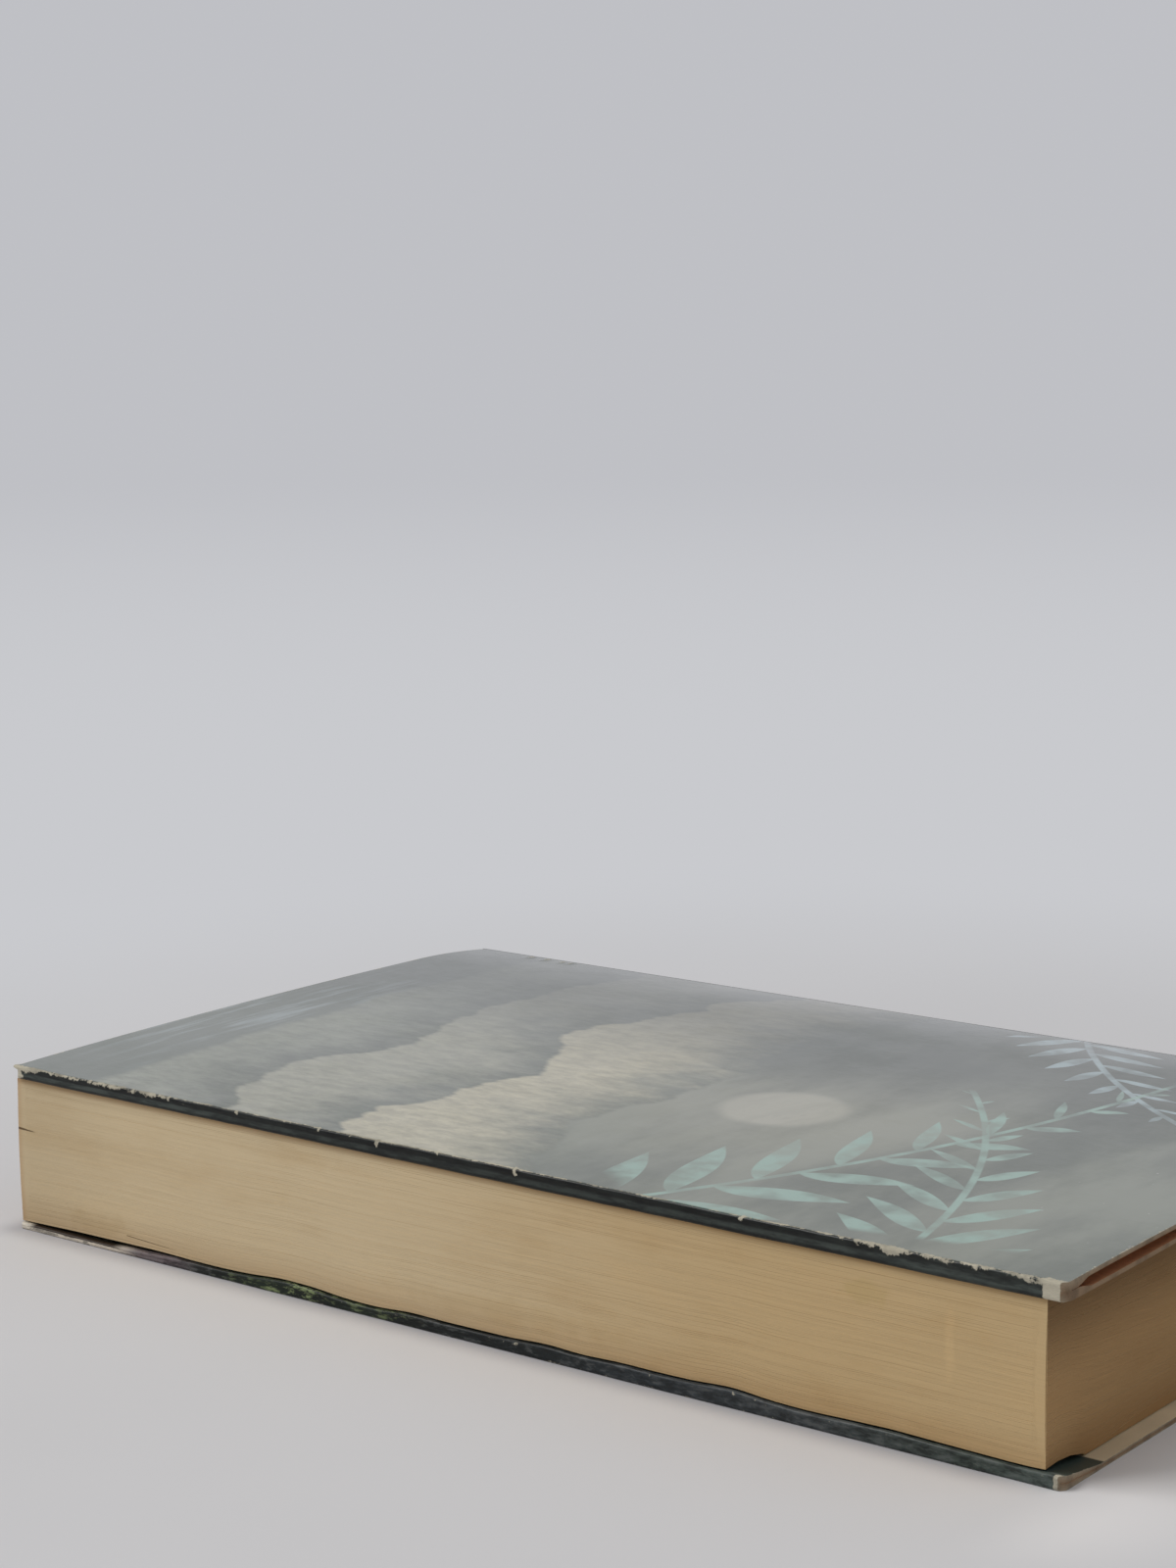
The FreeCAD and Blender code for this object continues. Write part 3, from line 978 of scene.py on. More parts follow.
@dataclass(frozen=True)
class BackPrint(PrintFinish):
    """The back cover's print: plain dark green, with changing colours along its fold."""

    flap_ground: Colour = (0.9, 0.76, 0.54)
    flap_margin: float = -53.6

    def picture(self, graph: Graph, place: Socket) -> Socket:
        """Plain dark green outside, and a pale ground on the flap past its margin.

        Args:
            graph: the material's nodes.
            place: the place on the book.

        Returns:
            The colour, before wear.
        """
        _, across, height = graph.parts(place)
        cloud = graph.noise(place, 0.05, 4.0, 0.6)
        pale = graph.mix(graph.rise(cloud, 0.35, 0.7), self.flap_ground, shaded(self.flap_ground, 0.8))
        past = graph.rise(across, self.flap_margin, self.flap_margin + 0.5)
        inside = graph.times(graph.rise(height, 0.3, 0.5), past)
        return graph.mix(inside, super().picture(graph, place), pale)

    def fold_colour(self, graph: Graph, place: Socket, shade: Socket) -> Socket:
        """Looks the fold's colour up by how far along the book it is, with painted shade in dark brown
        over its upper part near the tail.

        Args:
            graph: the material's nodes.
            place: the place on the book.
            shade: not needed on this cover.

        Returns:
            The colour.
        """
        along, _, height = graph.parts(place)
        run = graph.over(graph.plus(along, SHAPE.half_length), 2.0 * SHAPE.half_length)
        stops = (
            (0.0, (0.85, 0.78, 0.66)),
            (0.115, (0.8, 0.72, 0.61)),
            (0.14, (0.2, 0.16, 0.16)),
            (0.18, (0.14, 0.11, 0.12)),
            (0.21, (0.02, 0.022, 0.02)),
            (0.23, (0.006, 0.009, 0.007)),
            (0.28, (0.012, 0.022, 0.013)),
            (0.34, (0.006, 0.009, 0.007)),
            (0.39, (0.014, 0.024, 0.015)),
            (0.43, (0.006, 0.009, 0.008)),
            (0.56, (0.012, 0.017, 0.018)),
            (0.66, (0.03, 0.037, 0.043)),
            (0.8, (0.05, 0.058, 0.062)),
            (0.93, (0.055, 0.072, 0.062)),
            (1.0, (0.085, 0.11, 0.1)),
        )
        base = graph.ramp(run, stops)
        mottle = graph.noise(graph.stretch(place, (0.35, 1.0, 1.0)), 0.9, 4.0, 0.7)
        marks = graph.rise(mottle, 0.5, 0.62)
        blots = graph.rise(mottle, 0.5, 0.4)
        lush = graph.times(graph.rise(run, 0.275, 0.29), graph.rise(run, 0.35, 0.335))
        leafy = graph.mix(graph.times(marks, graph.scaled(lush, 0.45, 0.95)), base, (0.24, 0.3, 0.14))
        spotted = graph.mix(graph.times(marks, 0.28), base, (0.2, 0.21, 0.21))
        bright = graph.mix(graph.times(blots, 0.6), spotted, (0.008, 0.009, 0.009))
        near = graph.times(graph.rise(run, 0.22, 0.26), graph.rise(run, 0.46, 0.42))
        mixed = graph.mix(near, bright, leafy)
        uneven = graph.times(graph.minus(mottle, 0.5), 0.5)
        # painted shade: near the tail, the fold's upper part goes dark brown for the shaded gap above it
        upper = graph.rise(graph.plus(height, uneven), 0.62, 0.76)
        tail = graph.times(graph.rise(run, 0.13, 0.11), graph.rise(run, 0.008, 0.02))
        return graph.mix(graph.times(upper, tail), mixed, (0.03, 0.017, 0.01))


@dataclass(frozen=True)
class LeafFinish(Finish):
    """Edges of aged leaves, cream at the fore-edge and browner at the head and tail, partly as painted
    shade on those faces.

    A stain has its place on the fore-edge, its reach, its strength and what it multiplies the
    colour by. A slit is a gap between two leaves, painted dark as the shade in it: its two ends and
    its thickness.
    """

    fore: Colour = (0.745, 0.6, 0.385)
    # partly painted shade: the head and tail faces are darker than the aged paper alone
    end: Colour = (0.5, 0.34, 0.185)
    # painted shade: the near-black colour of the hollow's walls
    hollow_shade: Colour = (0.035, 0.026, 0.017)
    pitch: float = 0.17
    slump: float = 3.7
    contrast: float = 0.062
    stains: tuple[tuple[Pair, Pair, float, Colour], ...] = (
        ((-80.7, 4.0), (9.0, 2.4), 0.22, (0.72, 0.64, 0.46)),
        ((67.7, 20.6), (5.0, 2.6), 0.3, (0.8, 0.8, 0.58)),
        ((81.5, 16.5), (1.1, 7.0), 0.6, (1.13, 1.12, 1.1)),
        ((5.0, 6.0), (26.0, 3.0), 0.25, (0.84, 0.78, 0.66)),
        ((-35.0, 22.5), (18.0, 2.0), 0.25, (0.88, 0.8, 0.7)),
    )
    slits: tuple[tuple[Pair, Pair, float], ...] = (
        ((-98.75, 17.3), (-94.0, 17.1), 0.16),
        ((-73.9, 3.1), (-60.6, 2.5), 0.03),
    )

    def surface(self, graph: Graph, place: Socket) -> dict[str, object]:
        """Fine lines with stains where the photograph shows them.

        Args:
            graph: the material's nodes.
            place: the place on the book.

        Returns:
            The sockets and values, by the names of the shader's inputs.
        """
        along, across, height = graph.parts(place)
        facing, _, flat = graph.parts(graph.node("ShaderNodeNewGeometry", out=1))
        ends = graph.rise(graph.size(facing), 0.4, 0.7)
        level = graph.rise(graph.size(flat), 0.8, 0.95)
        lines = EFFECTS.place(graph, Effect.LEAVES, Place=place, Pitch=self.pitch, Slump=self.slump)
        colour = graph.mix(ends, self.fore, self.end)
        drift = graph.noise(graph.stretch(place, (0.5, 0.5, 1.2)), 0.07, 4.0, 0.6)
        fore, upright = graph.rest(ends), graph.rest(level)
        # darker and browner towards the head on the upright faces
        darker_to_head = graph.times(graph.rise(along, -30.0, 60.0), upright)
        rim = graph.times(graph.rise(height, 24.4, 25.7), fore, upright)
        tail = graph.times(graph.rise(along, -97.4, -98.8), fore)
        # painted shade: the head and tail faces darken towards the top, under the covers' overhang
        overhang_shade = graph.times(graph.rise(height, 12.0, 24.5), ends)
        for mask, share, factors in (
            (graph.rise(drift, 0.48, 0.72), 0.3, (0.8, 0.7, 0.56)),
            (graph.rise(drift, 0.5, 0.3), 0.35, (1.06, 1.02, 0.96)),
            (darker_to_head, 1.0, (0.89, 0.805, 0.67)),
            (graph.rise(height, 8.0, 1.5), 0.4, (0.72, 0.6, 0.5)),
            (graph.rise(along, -70.0, -95.0), 0.6, (0.86, 0.85, 0.84)),
            (rim, 0.6, (0.6, 0.42, 0.28)),
            (tail, 0.4, (0.8, 0.6, 0.5)),
            (overhang_shade, 0.72, (0.36, 0.32, 0.28)),
        ):
            colour = self.tint(graph, colour, mask, share, factors)
        colour = self.stained(graph, colour, place)
        sheets = graph.times(graph.rise(lines["Height"], 0.6, 0.72), ends)
        colour = self.tint(graph, colour, sheets, 0.5, (1.5, 1.45, 1.35))
        shade = graph.scaled(lines["Tone"], 1.0 - self.contrast, 1.0 + self.contrast * 0.35)
        # painted shade on the walls of the hollow under the head corner
        hollow_shade_mask = self.hollow_shade_walls(graph, along, across, height)
        return {
            "Base Color": graph.mix(hollow_shade_mask, graph.scale(colour, shade), self.hollow_shade),
            "Normal": graph.bump(lines["Height"], 0.3, 0.06),
        }

    @staticmethod
    def hollow_shade_walls(graph: Graph, along: Socket, across: Socket, height: Socket) -> Socket:
        """1 on the inner walls of the hollow under the head corner, which are painted dark as shade that
        no light reaches.

        Args:
            graph: the material's nodes.
            along: the place along the book.
            across: the place across the book.
            height: the place's height.

        Returns:
            The mask.
        """
        walls = (
            (across, -63.62, -63.45),
            (across, -51.0, -51.5),
            (height, 4.6, 3.9),
            (along, 76.0, 78.0),
            (along, 95.9, 95.6),
        )
        return graph.times(*(graph.rise(part, out, within) for part, out, within in walls))

    @staticmethod
    def tint(graph: Graph, under: Socket, mask: Socket, share: float, factors: Colour) -> Socket:
        """Multiplies a colour where a mask is 1.

        Args:
            graph: the material's nodes.
            under: the colour so far.
            mask: where it changes.
            share: how much of the change is made.
            factors: what red, green and blue are multiplied by.

        Returns:
            The new colour.
        """
        return graph.mix(graph.times(mask, share), under, factors, "MULTIPLY")

    def stained(self, graph: Graph, under: Socket, place: Socket) -> Socket:
        """Adds the stains, the pale streak and the parted leaves of the fore-edge, whose gaps get painted
        shade.

        Args:
            graph: the material's nodes.
            under: the colour so far.
            place: the place on the book.

        Returns:
            The new colour.
        """
        along, across, height = graph.parts(place)
        fore = graph.rise(across, -63.2, -63.6)
        rough = graph.times(graph.minus(graph.noise(place, 0.35, 3.0), 0.5), 1.6)
        colour = under
        for centre, reach, share, factors in self.stains:
            side = graph.over(graph.minus(along, centre[0]), reach[0])
            rise = graph.over(graph.minus(height, centre[1]), reach[1])
            mask = graph.rise(graph.plus(graph.length(side, rise), rough), 1.0, 0.3)
            colour = self.tint(graph, colour, graph.times(mask, fore), share, factors)
        for start, end, thick in self.slits:
            slope = (end[1] - start[1]) / (end[0] - start[0])
            run = graph.minus(along, start[0])
            line = graph.plus(graph.times(run, slope), start[1])
            away = graph.size(graph.minus(height, line))
            left = graph.rise(along, end[0], start[0])
            wide = graph.times(left, thick)
            mask = graph.rise(graph.minus(away, wide), 0.07, 0.0)
            begun = graph.rise(along, start[0] - 0.1, start[0])
            within = graph.times(begun, graph.rise(left, 0.0, 0.2), fore)
            # painted shade: the gap between parted leaves drawn dark
            colour = self.tint(graph, colour, graph.times(mask, within), 0.85, (0.12, 0.08, 0.05))
        return colour


@dataclass(frozen=True)
class GlueFinish(Finish):
    """Hot-melt glue, waxy and a little uneven."""

    colour: Colour = (0.72, 0.64, 0.47)

    def surface(self, graph: Graph, place: Socket) -> dict[str, object]:
        """Yellowed glue with darker clouds in it and a wavy surface.

        Args:
            graph: the material's nodes.
            place: the place on the book.

        Returns:
            The sockets and values, by the names of the shader's inputs.
        """
        cloud = graph.noise(place, 0.25, 3.0)
        tinted = graph.mix(graph.rise(cloud, 0.35, 0.7), self.colour, shaded(self.colour, 0.75))
        waves = graph.noise(graph.stretch(place, (0.3, 1.0, 1.0)), 0.8, 2.0)
        return {"Base Color": tinted, "Normal": graph.bump(waves, 0.4, 0.2)}


class ProfilePoint(NamedTuple):
    """A point of a cover's cross-section: its outer and inner side and its distance round."""

    outer: Pair
    inner: Pair
    run: float


class CoverSide(Enum):
    """Which cover a folded sheet is."""

    FRONT = "front"
    BACK = "back"


@dataclass
class FoldedCover:
    """A cover of card with its flap folded in at the fore-edge.

    Its cross-section is a list of paired points on the print's side and on the bare side, from
    the score line over the panel and round the fold to the flap's free edge. A tick is a crack
    across the fold: its distance from the tail, its strength and its width. A flake is a bit of
    lifted film: its place along and across.
    """

    print_slot = 0
    card_slot = 1
    edge_slot = 2
    side: CoverSide
    node: str
    body: str
    print_finish: PrintFinish
    card_finish: CardFinish
    edge_finish: CardFinish
    column: float = 0.5
    ticks: tuple[Triple, ...] = ()
    flakes: tuple[Pair, ...] = ()
    panel_steps: int = 30
    roll_steps: int = 12
    corner_steps: int = 5
    face_steps: int = 6
    flap_steps: int = 16
    spare: float = 0.02
    sway: float = 0.05
    dent: float = 0.06
    panel_drop: float = 0.012
    flake_lift: float = 0.28
    head_reach: float = 1.6
    head_spread: float = 0.3
    corner_spread: float = 1.2
    blunt_reach: float = 1.8
    blunt_head: float = 0.8
    blunt_tail: float = 0.6
    spur: float = 1.0
    waves: Ripple = field(default_factory=lambda: Ripple(11, 7.0))
    dents: Ripple = field(default_factory=lambda: Ripple(23, 1.9))
    patches: Ripple = field(default_factory=lambda: Ripple(5, 2.6))

    @property
    def start(self) -> float:
        """Where the sheet starts at the tail."""
        inset = SHAPE.front_tail_inset if self.side is CoverSide.FRONT else 0.0
        return -SHAPE.half_length + inset

    def fold_height(self, along: float) -> float:
        """Height of the folded edge.

        Args:
            along: the place along the book.

        Returns:
            The height.
        """
        if self.side is CoverSide.FRONT:
            return SHAPE.front_fold(along)
        return SHAPE.back_fold_height(along)

    def stations(self) -> list[float]:
        """Places of the columns along the book, closer together at the cracks.

        Returns:
            The places, in order.
        """
        count = round((SHAPE.half_length - self.start) / self.column)
        step = (SHAPE.half_length - self.start) / count
        places = {round(self.start + step * index, 3) for index in range(count + 1)}
        for place, _, _ in self.ticks:
            for shift in (-0.4, -0.15, 0.1, 0.35):
                column = place - SHAPE.half_length + shift
                places.add(round(clamp(column, self.start, SHAPE.half_length), 3))
        return sorted(places)

    def at_head(self, along: float) -> float:
        """Rises from 0 to 1 over the last bit before the head."""
        return smooth(along, SHAPE.half_length - self.head_reach, SHAPE.half_length - 0.1)

    def crush(self, along: float, across: float) -> float:
        """How much the card's edge at the head has spread, most at the worn corner.

        Args:
            along: the place along the book.
            across: the place across the book.

        Returns:
            The spread, in millimetres.
        """
        edge = self.at_head(along)
        reach = 6.5 if self.side is CoverSide.FRONT else 15.0
        corner = smooth(across, SHAPE.fore + reach, SHAPE.fore + 0.25 * reach)
        return edge * (self.head_spread * smooth(across, 40.0, -20.0) + self.corner_spread * corner)

    def profile(self, along: float) -> list[ProfilePoint]:
        """The cross-section at one place along the book.

        Args:
            along: the place.

        Returns:
            The paired points, from the score line to the flap's free edge.
        """
        if self.side is CoverSide.FRONT:
            return self.front_profile(along)
        return self.back_profile(along)

    def fold_points(self, along: float, centre: float, fold: float, down: bool) -> list[ProfilePoint]:
        """Points round the folded edge, from its crease by the panel to its crease by the flap.

        Args:
            along: the place along the book.
            centre: height of the panel's outer face.
            fold: height of the folded edge.
            down: whether the flap is below the panel.

        Returns:
            The points, with the distance from the first crease.
        """
        sign = -1.0 if down else 1.0
        wide, narrow = SHAPE.fold_round, SHAPE.inner_round
        quarter = math.pi / 2.0 * wide
        face = fold - 2.0 * wide
        sway = self.sway * (1.0 + self.waves.at(along))
        points = []
        for index in range(1, self.corner_steps + 1):
            turn = math.pi / 2.0 * index / self.corner_steps
            height = centre + sign * wide
            outer = (SHAPE.fold_top - wide * math.sin(turn), height - sign * wide * math.cos(turn))
            inner = (SHAPE.fold_top - narrow * math.sin(turn), height - sign * narrow * math.cos(turn))
            points.append((outer, inner, quarter * index / self.corner_steps))
        for index in range(1, self.face_steps + 1):
            share = index / self.face_steps
            height = centre + sign * (wide + face * share)
            deep = self.dent * (1.0 + self.dents.at(along + 40.0 * share))
            dent = deep * math.sin(math.pi * share)
            outer = (SHAPE.fore + dent, height)
            inner = (SHAPE.fore + SHAPE.card + dent, height)
            points.append((outer, inner, quarter + face * share))
        for index in range(1, self.corner_steps + 1):
            turn = math.pi / 2.0 * index / self.corner_steps
            height = centre + sign * (fold - wide)
            outer = (SHAPE.fold_top - wide * math.cos(turn), height + sign * wide * math.sin(turn))
            inner = (SHAPE.fold_top - narrow * math.cos(turn), height + sign * narrow * math.sin(turn))
            points.append((outer, inner, quarter + face + quarter * index / self.corner_steps))
        moved = []
        middle = centre + sign * fold / 2.0
        closed = self.at_head(along)
        for outer, inner, run in points:
            push = sway * math.sin(math.pi * min(run / (2.0 * quarter + face), 1.0))
            side = inner[0] + push + (SHAPE.fold_top - inner[0] - push) * closed
            level = middle + (inner[1] - middle) * (1.0 - closed)
            moved.append(ProfilePoint((outer[0] + push, outer[1]), (side, level), run))
        return moved

    def front_profile(self, along: float) -> list[ProfilePoint]:
        """The front cover's cross-section: roll, crowned panel, fold and flap.

        Args:
            along: the place along the book.

        Returns:
            The paired points.
        """
        slope = math.radians(SHAPE.hinge_slope)
        end = (
            SHAPE.front_hinge - SHAPE.hinge_gap * math.cos(slope),
            SHAPE.hinge_height + SHAPE.hinge_gap * math.sin(slope),
        )
        points = []
        chord = end[0] - SHAPE.roll_start
        for index in range(self.roll_steps):
            share = 1.0 - (index / self.roll_steps) ** 1.5
            across = SHAPE.roll_start + chord * share
            sag = share * (1.0 - share) * chord * chord / (2.0 * SHAPE.roll_radius)
            height = SHAPE.roll_height + (end[1] - SHAPE.roll_height) * share + sag
            height += self.flake_lift * self.flake(along, across)
            lean = slope * share
            inner = (across - SHAPE.card * math.sin(lean), height - SHAPE.card * math.cos(lean))
            points.append(ProfilePoint((across, height), inner, SHAPE.fold_top - across))
        span = SHAPE.roll_start - SHAPE.fold_top
        fold = SHAPE.front_fold(along)
        room = fold / 2.0 - SHAPE.card - self.spare
        for index in range(self.panel_steps + 1):
            share = (1.0 - index / self.panel_steps) ** 2.0
            across = SHAPE.fold_top + span * share
            near = smooth(across, SHAPE.fold_top + 9.0, SHAPE.fold_top)
            dip = self.sway * near * (1.0 + self.waves.at(along * 1.7 + 50.0))
            height = SHAPE.panel(across) - self.panel_drop - dip
            inner = (across, height - SHAPE.card - min(self.crush(along, across), room))
            points.append(ProfilePoint((across, height), inner, SHAPE.fold_top - across))
        points += self.fold_points(along, points[-1].outer[1], fold, True)
        last = points[-1]
        lift = last.outer[1] - SHAPE.flap_under(along, SHAPE.fold_top)
        width = SHAPE.flap_edge - SHAPE.fold_top
        for index in range(1, self.flap_steps + 1):
            share = (index / self.flap_steps) ** 1.5
            across = SHAPE.fold_top + width * share
            height = SHAPE.flap_under(along, across) + lift * (1.0 - share)
            inner = (across, height + SHAPE.card + min(self.crush(along, across), room))
            points.append(ProfilePoint((across, height), inner, last.run + width * share))
        return points

    def flake(self, along: float, across: float) -> float:
        """How far the film has lifted in small flakes by the spine."""
        lifts = (hump(along, place, 0.45) * hump(across, side, 0.7) for place, side in self.flakes)
        return max(lifts, default=0.0)

    def back_profile(self, along: float) -> list[ProfilePoint]:
        """The back cover's cross-section: flat panel, fold, slope and flat flap.

        Args:
            along: the place along the book.

        Returns:
            The paired points.
        """
        end = SHAPE.back_hinge - SHAPE.hinge_gap
        span = end - SHAPE.fold_top
        fold = SHAPE.back_fold_height(along)
        points = []
        for index in range(self.panel_steps + 1):
            share = (1.0 - index / self.panel_steps) ** 2.0
            across = SHAPE.fold_top + span * share
            spread = self.back_spread(along, across) if across < SHAPE.flap_edge else 0.0
            inner = (across, SHAPE.card + spread)
            points.append(ProfilePoint((across, 0.0), inner, SHAPE.fold_top - across))
        points += self.fold_points(along, 0.0, fold, False)
        last = points[-1]
        width = SHAPE.flap_edge - SHAPE.fold_top
        for index in range(1, self.flap_steps + 1):
            share = (index / self.flap_steps) ** 1.8
            across = SHAPE.fold_top + width * share
            height = SHAPE.back_flap_top(along, across)
            inner = (across, height - SHAPE.card - self.back_spread(along, across))
            points.append(ProfilePoint((across, height), inner, last.run + width * share))
        return points

    def back_spread(self, along: float, across: float) -> float:
        """How much the back cover's card has spread, within the room under its flap."""
        room = (SHAPE.back_flap_top(along, across) - 2.0 * SHAPE.card) / 2.0 - self.spare
        return min(self.crush(along, across), max(room, 0.0))

    def marks(self, along: float, point: ProfilePoint, fold: float) -> Triple:
        """Wear, painted fold light and shade, and picture at a point of the printed side.

        Args:
            along: the place along the book.
            point: the point of the cross-section.
            fold: height of the folded edge.

        Returns:
            How far the print is worn, how much painted light the fold gets, how much of the picture shows.
        """
        place = along + SHAPE.half_length
        run = point.run
        art = 1.0 - smooth(run, -0.3, 0.35)
        if self.side is CoverSide.FRONT:
            wear, shade = self.front_wear(place, run, fold)
        else:
            wear, shade = self.back_wear(place, run, fold)
            art = 1.0 - smooth(run, -0.3, 0.35) * smooth(run, fold + 1.6, fold + 0.9)
        film = 0.9 * self.flake(along, SHAPE.fold_top - run) if run < 0.0 else 0.0
        return min(max(wear, self.crack(place, run, fold), film), 1.0), shade, art

    def front_wear(self, place: float, run: float, fold: float) -> Pair:
        """Wear and painted fold light of the front cover: scuffed at both ends, bare at the head's corner.

        Args:
            place: distance from the tail.
            run: distance round the fold from its upper crease.
            fold: height of the folded edge.

        Returns:
            How far the print is worn, and how much painted light the fold gets.
        """
        patch = 0.5 + 0.5 * self.patches.at(place)
        heavy = max(smooth(place, 46.0, 30.0), 0.8 * smooth(place, 158.0, 172.0))
        ragged = 0.5 + 0.5 * self.dents.at(place * 1.9 + 9.0)
        line = hump(run, 0.0, 0.22) * (0.42 + 0.3 * patch)
        scuff = hump(run, 0.12 + 0.35 * ragged, 0.34 + 0.5 * ragged * patch) * (0.42 + 0.58 * patch)
        lower = 0.2 * hump(run, fold - 0.1, 0.2) * patch
        # painted light: a lighter strip on the fold's lower half, with painted shade above it and a
        # painted shadow line along its bottom edge
        band = smooth(run, fold * 0.52, fold * 0.62) * smooth(run, fold * 0.94, fold * 0.84)
        shade = band * (0.55 + 0.45 * max(smooth(place, 90.0, 20.0), smooth(place, 120.0, 180.0)))
        # painted light kept at the head and over the whole flap
        shade = max(shade, 0.5 * smooth(place, 150.0, 190.0), smooth(run, fold + 0.6, fold + 1.4))
        start = 192.6 + 2.2 * ragged
        head = smooth(place, start, start + 1.6) * smooth(run, -0.9 - patch, 0.2)
        head *= smooth(run, fold + 0.9, fold)
        tail = smooth(place, 2.6, 1.0) * smooth(run, -0.5, 0.3) * smooth(run, fold + 0.4, fold)
        edge = 0.5 * smooth(place, 197.3, 198.0) + 0.5 * smooth(place, 0.75, 0.6)
        return max(line, heavy * scuff, lower, head, tail, edge), shade

    def back_wear(self, place: float, run: float, fold: float) -> Pair:
        """Wear of the back cover, told as for the front cover, and a fixed amount of painted shade for its
        cut edges.

        Args:
            place: distance from the tail.
            run: distance round the fold from its upper crease.
            fold: height of the folded edge.

        Returns:
            How far the print is worn, and how much painted shade its cut edges take.
        """
        patch = 0.5 + 0.5 * self.patches.at(place)
        crease = 0.3 * hump(run, 0.3, 0.25) + 0.3 * patch * hump(run, fold - 0.1, 0.3)
        round_fold = smooth(run, -0.3, 0.3) * smooth(run, fold + 1.5, fold + 0.4)
        head = smooth(place, 196.4, 197.2) * round_fold
        tail = 0.3 * smooth(place, 26.0, 20.0) * smooth(run, -0.2, 0.1) * smooth(run, 0.75, 0.45)
        edge = 0.45 * smooth(place, 197.5, 198.0) + 0.45 * smooth(place, 0.5, 0.0)
        # 0.3 is the share of painted shade colour on the back cover's cut edges
        return max(crease, head, tail, edge), 0.3

    def crack(self, place: float, run: float, fold: float) -> float:
        """Wear at the cracks that cross the fold.

        Args:
            place: distance from the tail.
            run: distance round the fold from its upper crease.
            fold: height of the folded edge.

        Returns:
            How far the print is worn.
        """
        deepest = 0.0
        above = smooth(run, -1.0, -0.1)
        for tick, strength, wide in self.ticks:
            lean = 0.35 * math.sin(tick * 7.0) * (run - fold / 2.0)
            reach = smooth(run, 0.5 + 2.4 * strength * strength, 0.3)
            deepest = max(deepest, strength * hump(place - lean, tick, wide) * above * reach)
        return deepest

    def rounded(self, along: float, place: Pair) -> Triple:
        """A vertex in metres, drawn in a little at the sheet's blunted corners.

        Args:
            along: the place along the book.
            place: the point of the cross-section.

        Returns:
            The vertex.
        """
        near = smooth(place[0], SHAPE.fore + 1.5, SHAPE.fore)
        head = smooth(along, SHAPE.half_length - self.blunt_reach, SHAPE.half_length)
        tail = smooth(along, -SHAPE.half_length + self.blunt_reach, -SHAPE.half_length)
        moved = along + near * near * (self.blunt_tail * tail - self.blunt_head * head)
        if self.side is CoverSide.FRONT:
            spur = smooth(place[0], SHAPE.fore + 1.1, SHAPE.fore + 0.6) * smooth(place[1], 27.5, 27.75)
            moved -= self.spur * spur * smooth(along, self.start + 0.4, self.start)
            moved = max(moved, -SHAPE.half_length + self.spare)
        return (moved * MM, place[0] * MM, place[1] * MM)

    @staticmethod
    def pocket_shade(point: ProfilePoint) -> float:
        """How much painted shade a point of the bare side takes: more the further inside the fold it is.
        """
        return smooth(point.inner[0], SHAPE.flap_edge + 3.0, SHAPE.flap_edge - 12.0)

    def build(self) -> bpy.types.Object:
        """Makes the cover's mesh and puts it in the CAD solid's place.

        Returns:
            The cover.
        """
        stations = self.stations()
        profiles = [self.profile(along) for along in stations]
        count = len(profiles[0])
        vertices: list[Triple] = []
        marks: list[Triple] = []
        for along, profile in zip(stations, profiles):
            fold = self.fold_height(along)
            for point in profile:
                vertices.append(self.rounded(along, point.outer))
                marks.append(self.marks(along, point, fold))
            for point in reversed(profile):
                vertices.append(self.rounded(along, point.inner))
                # the bare side's marks carry only its painted pocket shade
                marks.append((0.0, self.pocket_shade(point), 0.0))
        ring = 2 * count
        faces: list[tuple[int, ...]] = []
        slots: list[int] = []
        for column in range(len(stations) - 1):
            here, there = column * ring, (column + 1) * ring
            for index in range(ring):
                following = (index + 1) % ring
                faces.append((here + index, there + index, there + following, here + following))
                if index in (count - 1, ring - 1):
                    slots.append(self.edge_slot)
                else:
                    slots.append(self.print_slot if index < count else self.card_slot)
        for base, flipped in ((0, False), ((len(stations) - 1) * ring, True)):
            for index in range(count - 1):
                opposite = base + ring - 1 - index
                loop = (base + index, base + index + 1, opposite - 1, opposite)
                faces.append(loop[::-1] if flipped else loop)
                slots.append(self.edge_slot)
        if self.side is CoverSide.BACK:
            faces = [face[::-1] for face in faces]
        finishes = [self.print_finish, self.card_finish, self.edge_finish]
        return make_piece(f"{self.node}_sheet", vertices, faces, slots, finishes, marks)


MADE: dict[str, bpy.types.Material] = {}


def material(finish: Finish) -> bpy.types.Material:
    """Builds a finish's material, or finds it again.

    Args:
        finish: the finish.

    Returns:
        The material, the same one for each finish of that name.
    """
    if finish.name not in MADE:
        MADE[finish.name] = finish.build()
    return MADE[finish.name]


def make_piece(
    name: str,
    vertices: list[Triple],
    faces: list[tuple[int, ...]],
    slots: list[int],
    finishes: Sequence[Finish],
    marks: list[Triple],
) -> bpy.types.Object:
    """Makes a mesh object at the origin.

    Args:
        name: the piece's name.
        vertices: the points, in metres.
        faces: the faces, seen from outside counterclockwise.
        slots: the finish of each face, by its number.
        finishes: the finishes.
        marks: the values of the attribute "marks" at each point.

    Returns:
        The object.
    """
    mesh = bpy.data.meshes.new(name)
    mesh.from_pydata(vertices, [], faces)
    for finish in finishes:
        mesh.materials.append(material(finish))
    mesh.polygons.foreach_set("material_index", slots)
    if marks:
        layer = mesh.color_attributes.new("marks", "FLOAT_COLOR", "POINT")
        layer.data.foreach_set("color", [part for mark in marks for part in (*mark, 1.0)])
    mesh.shade_smooth()
    mesh.set_sharp_from_angle(angle=math.radians(SHARP_DEGREES))
    mesh.validate()
    piece = bpy.data.objects.new(name, mesh)
    bpy.context.scene.collection.objects.link(piece)
    return piece


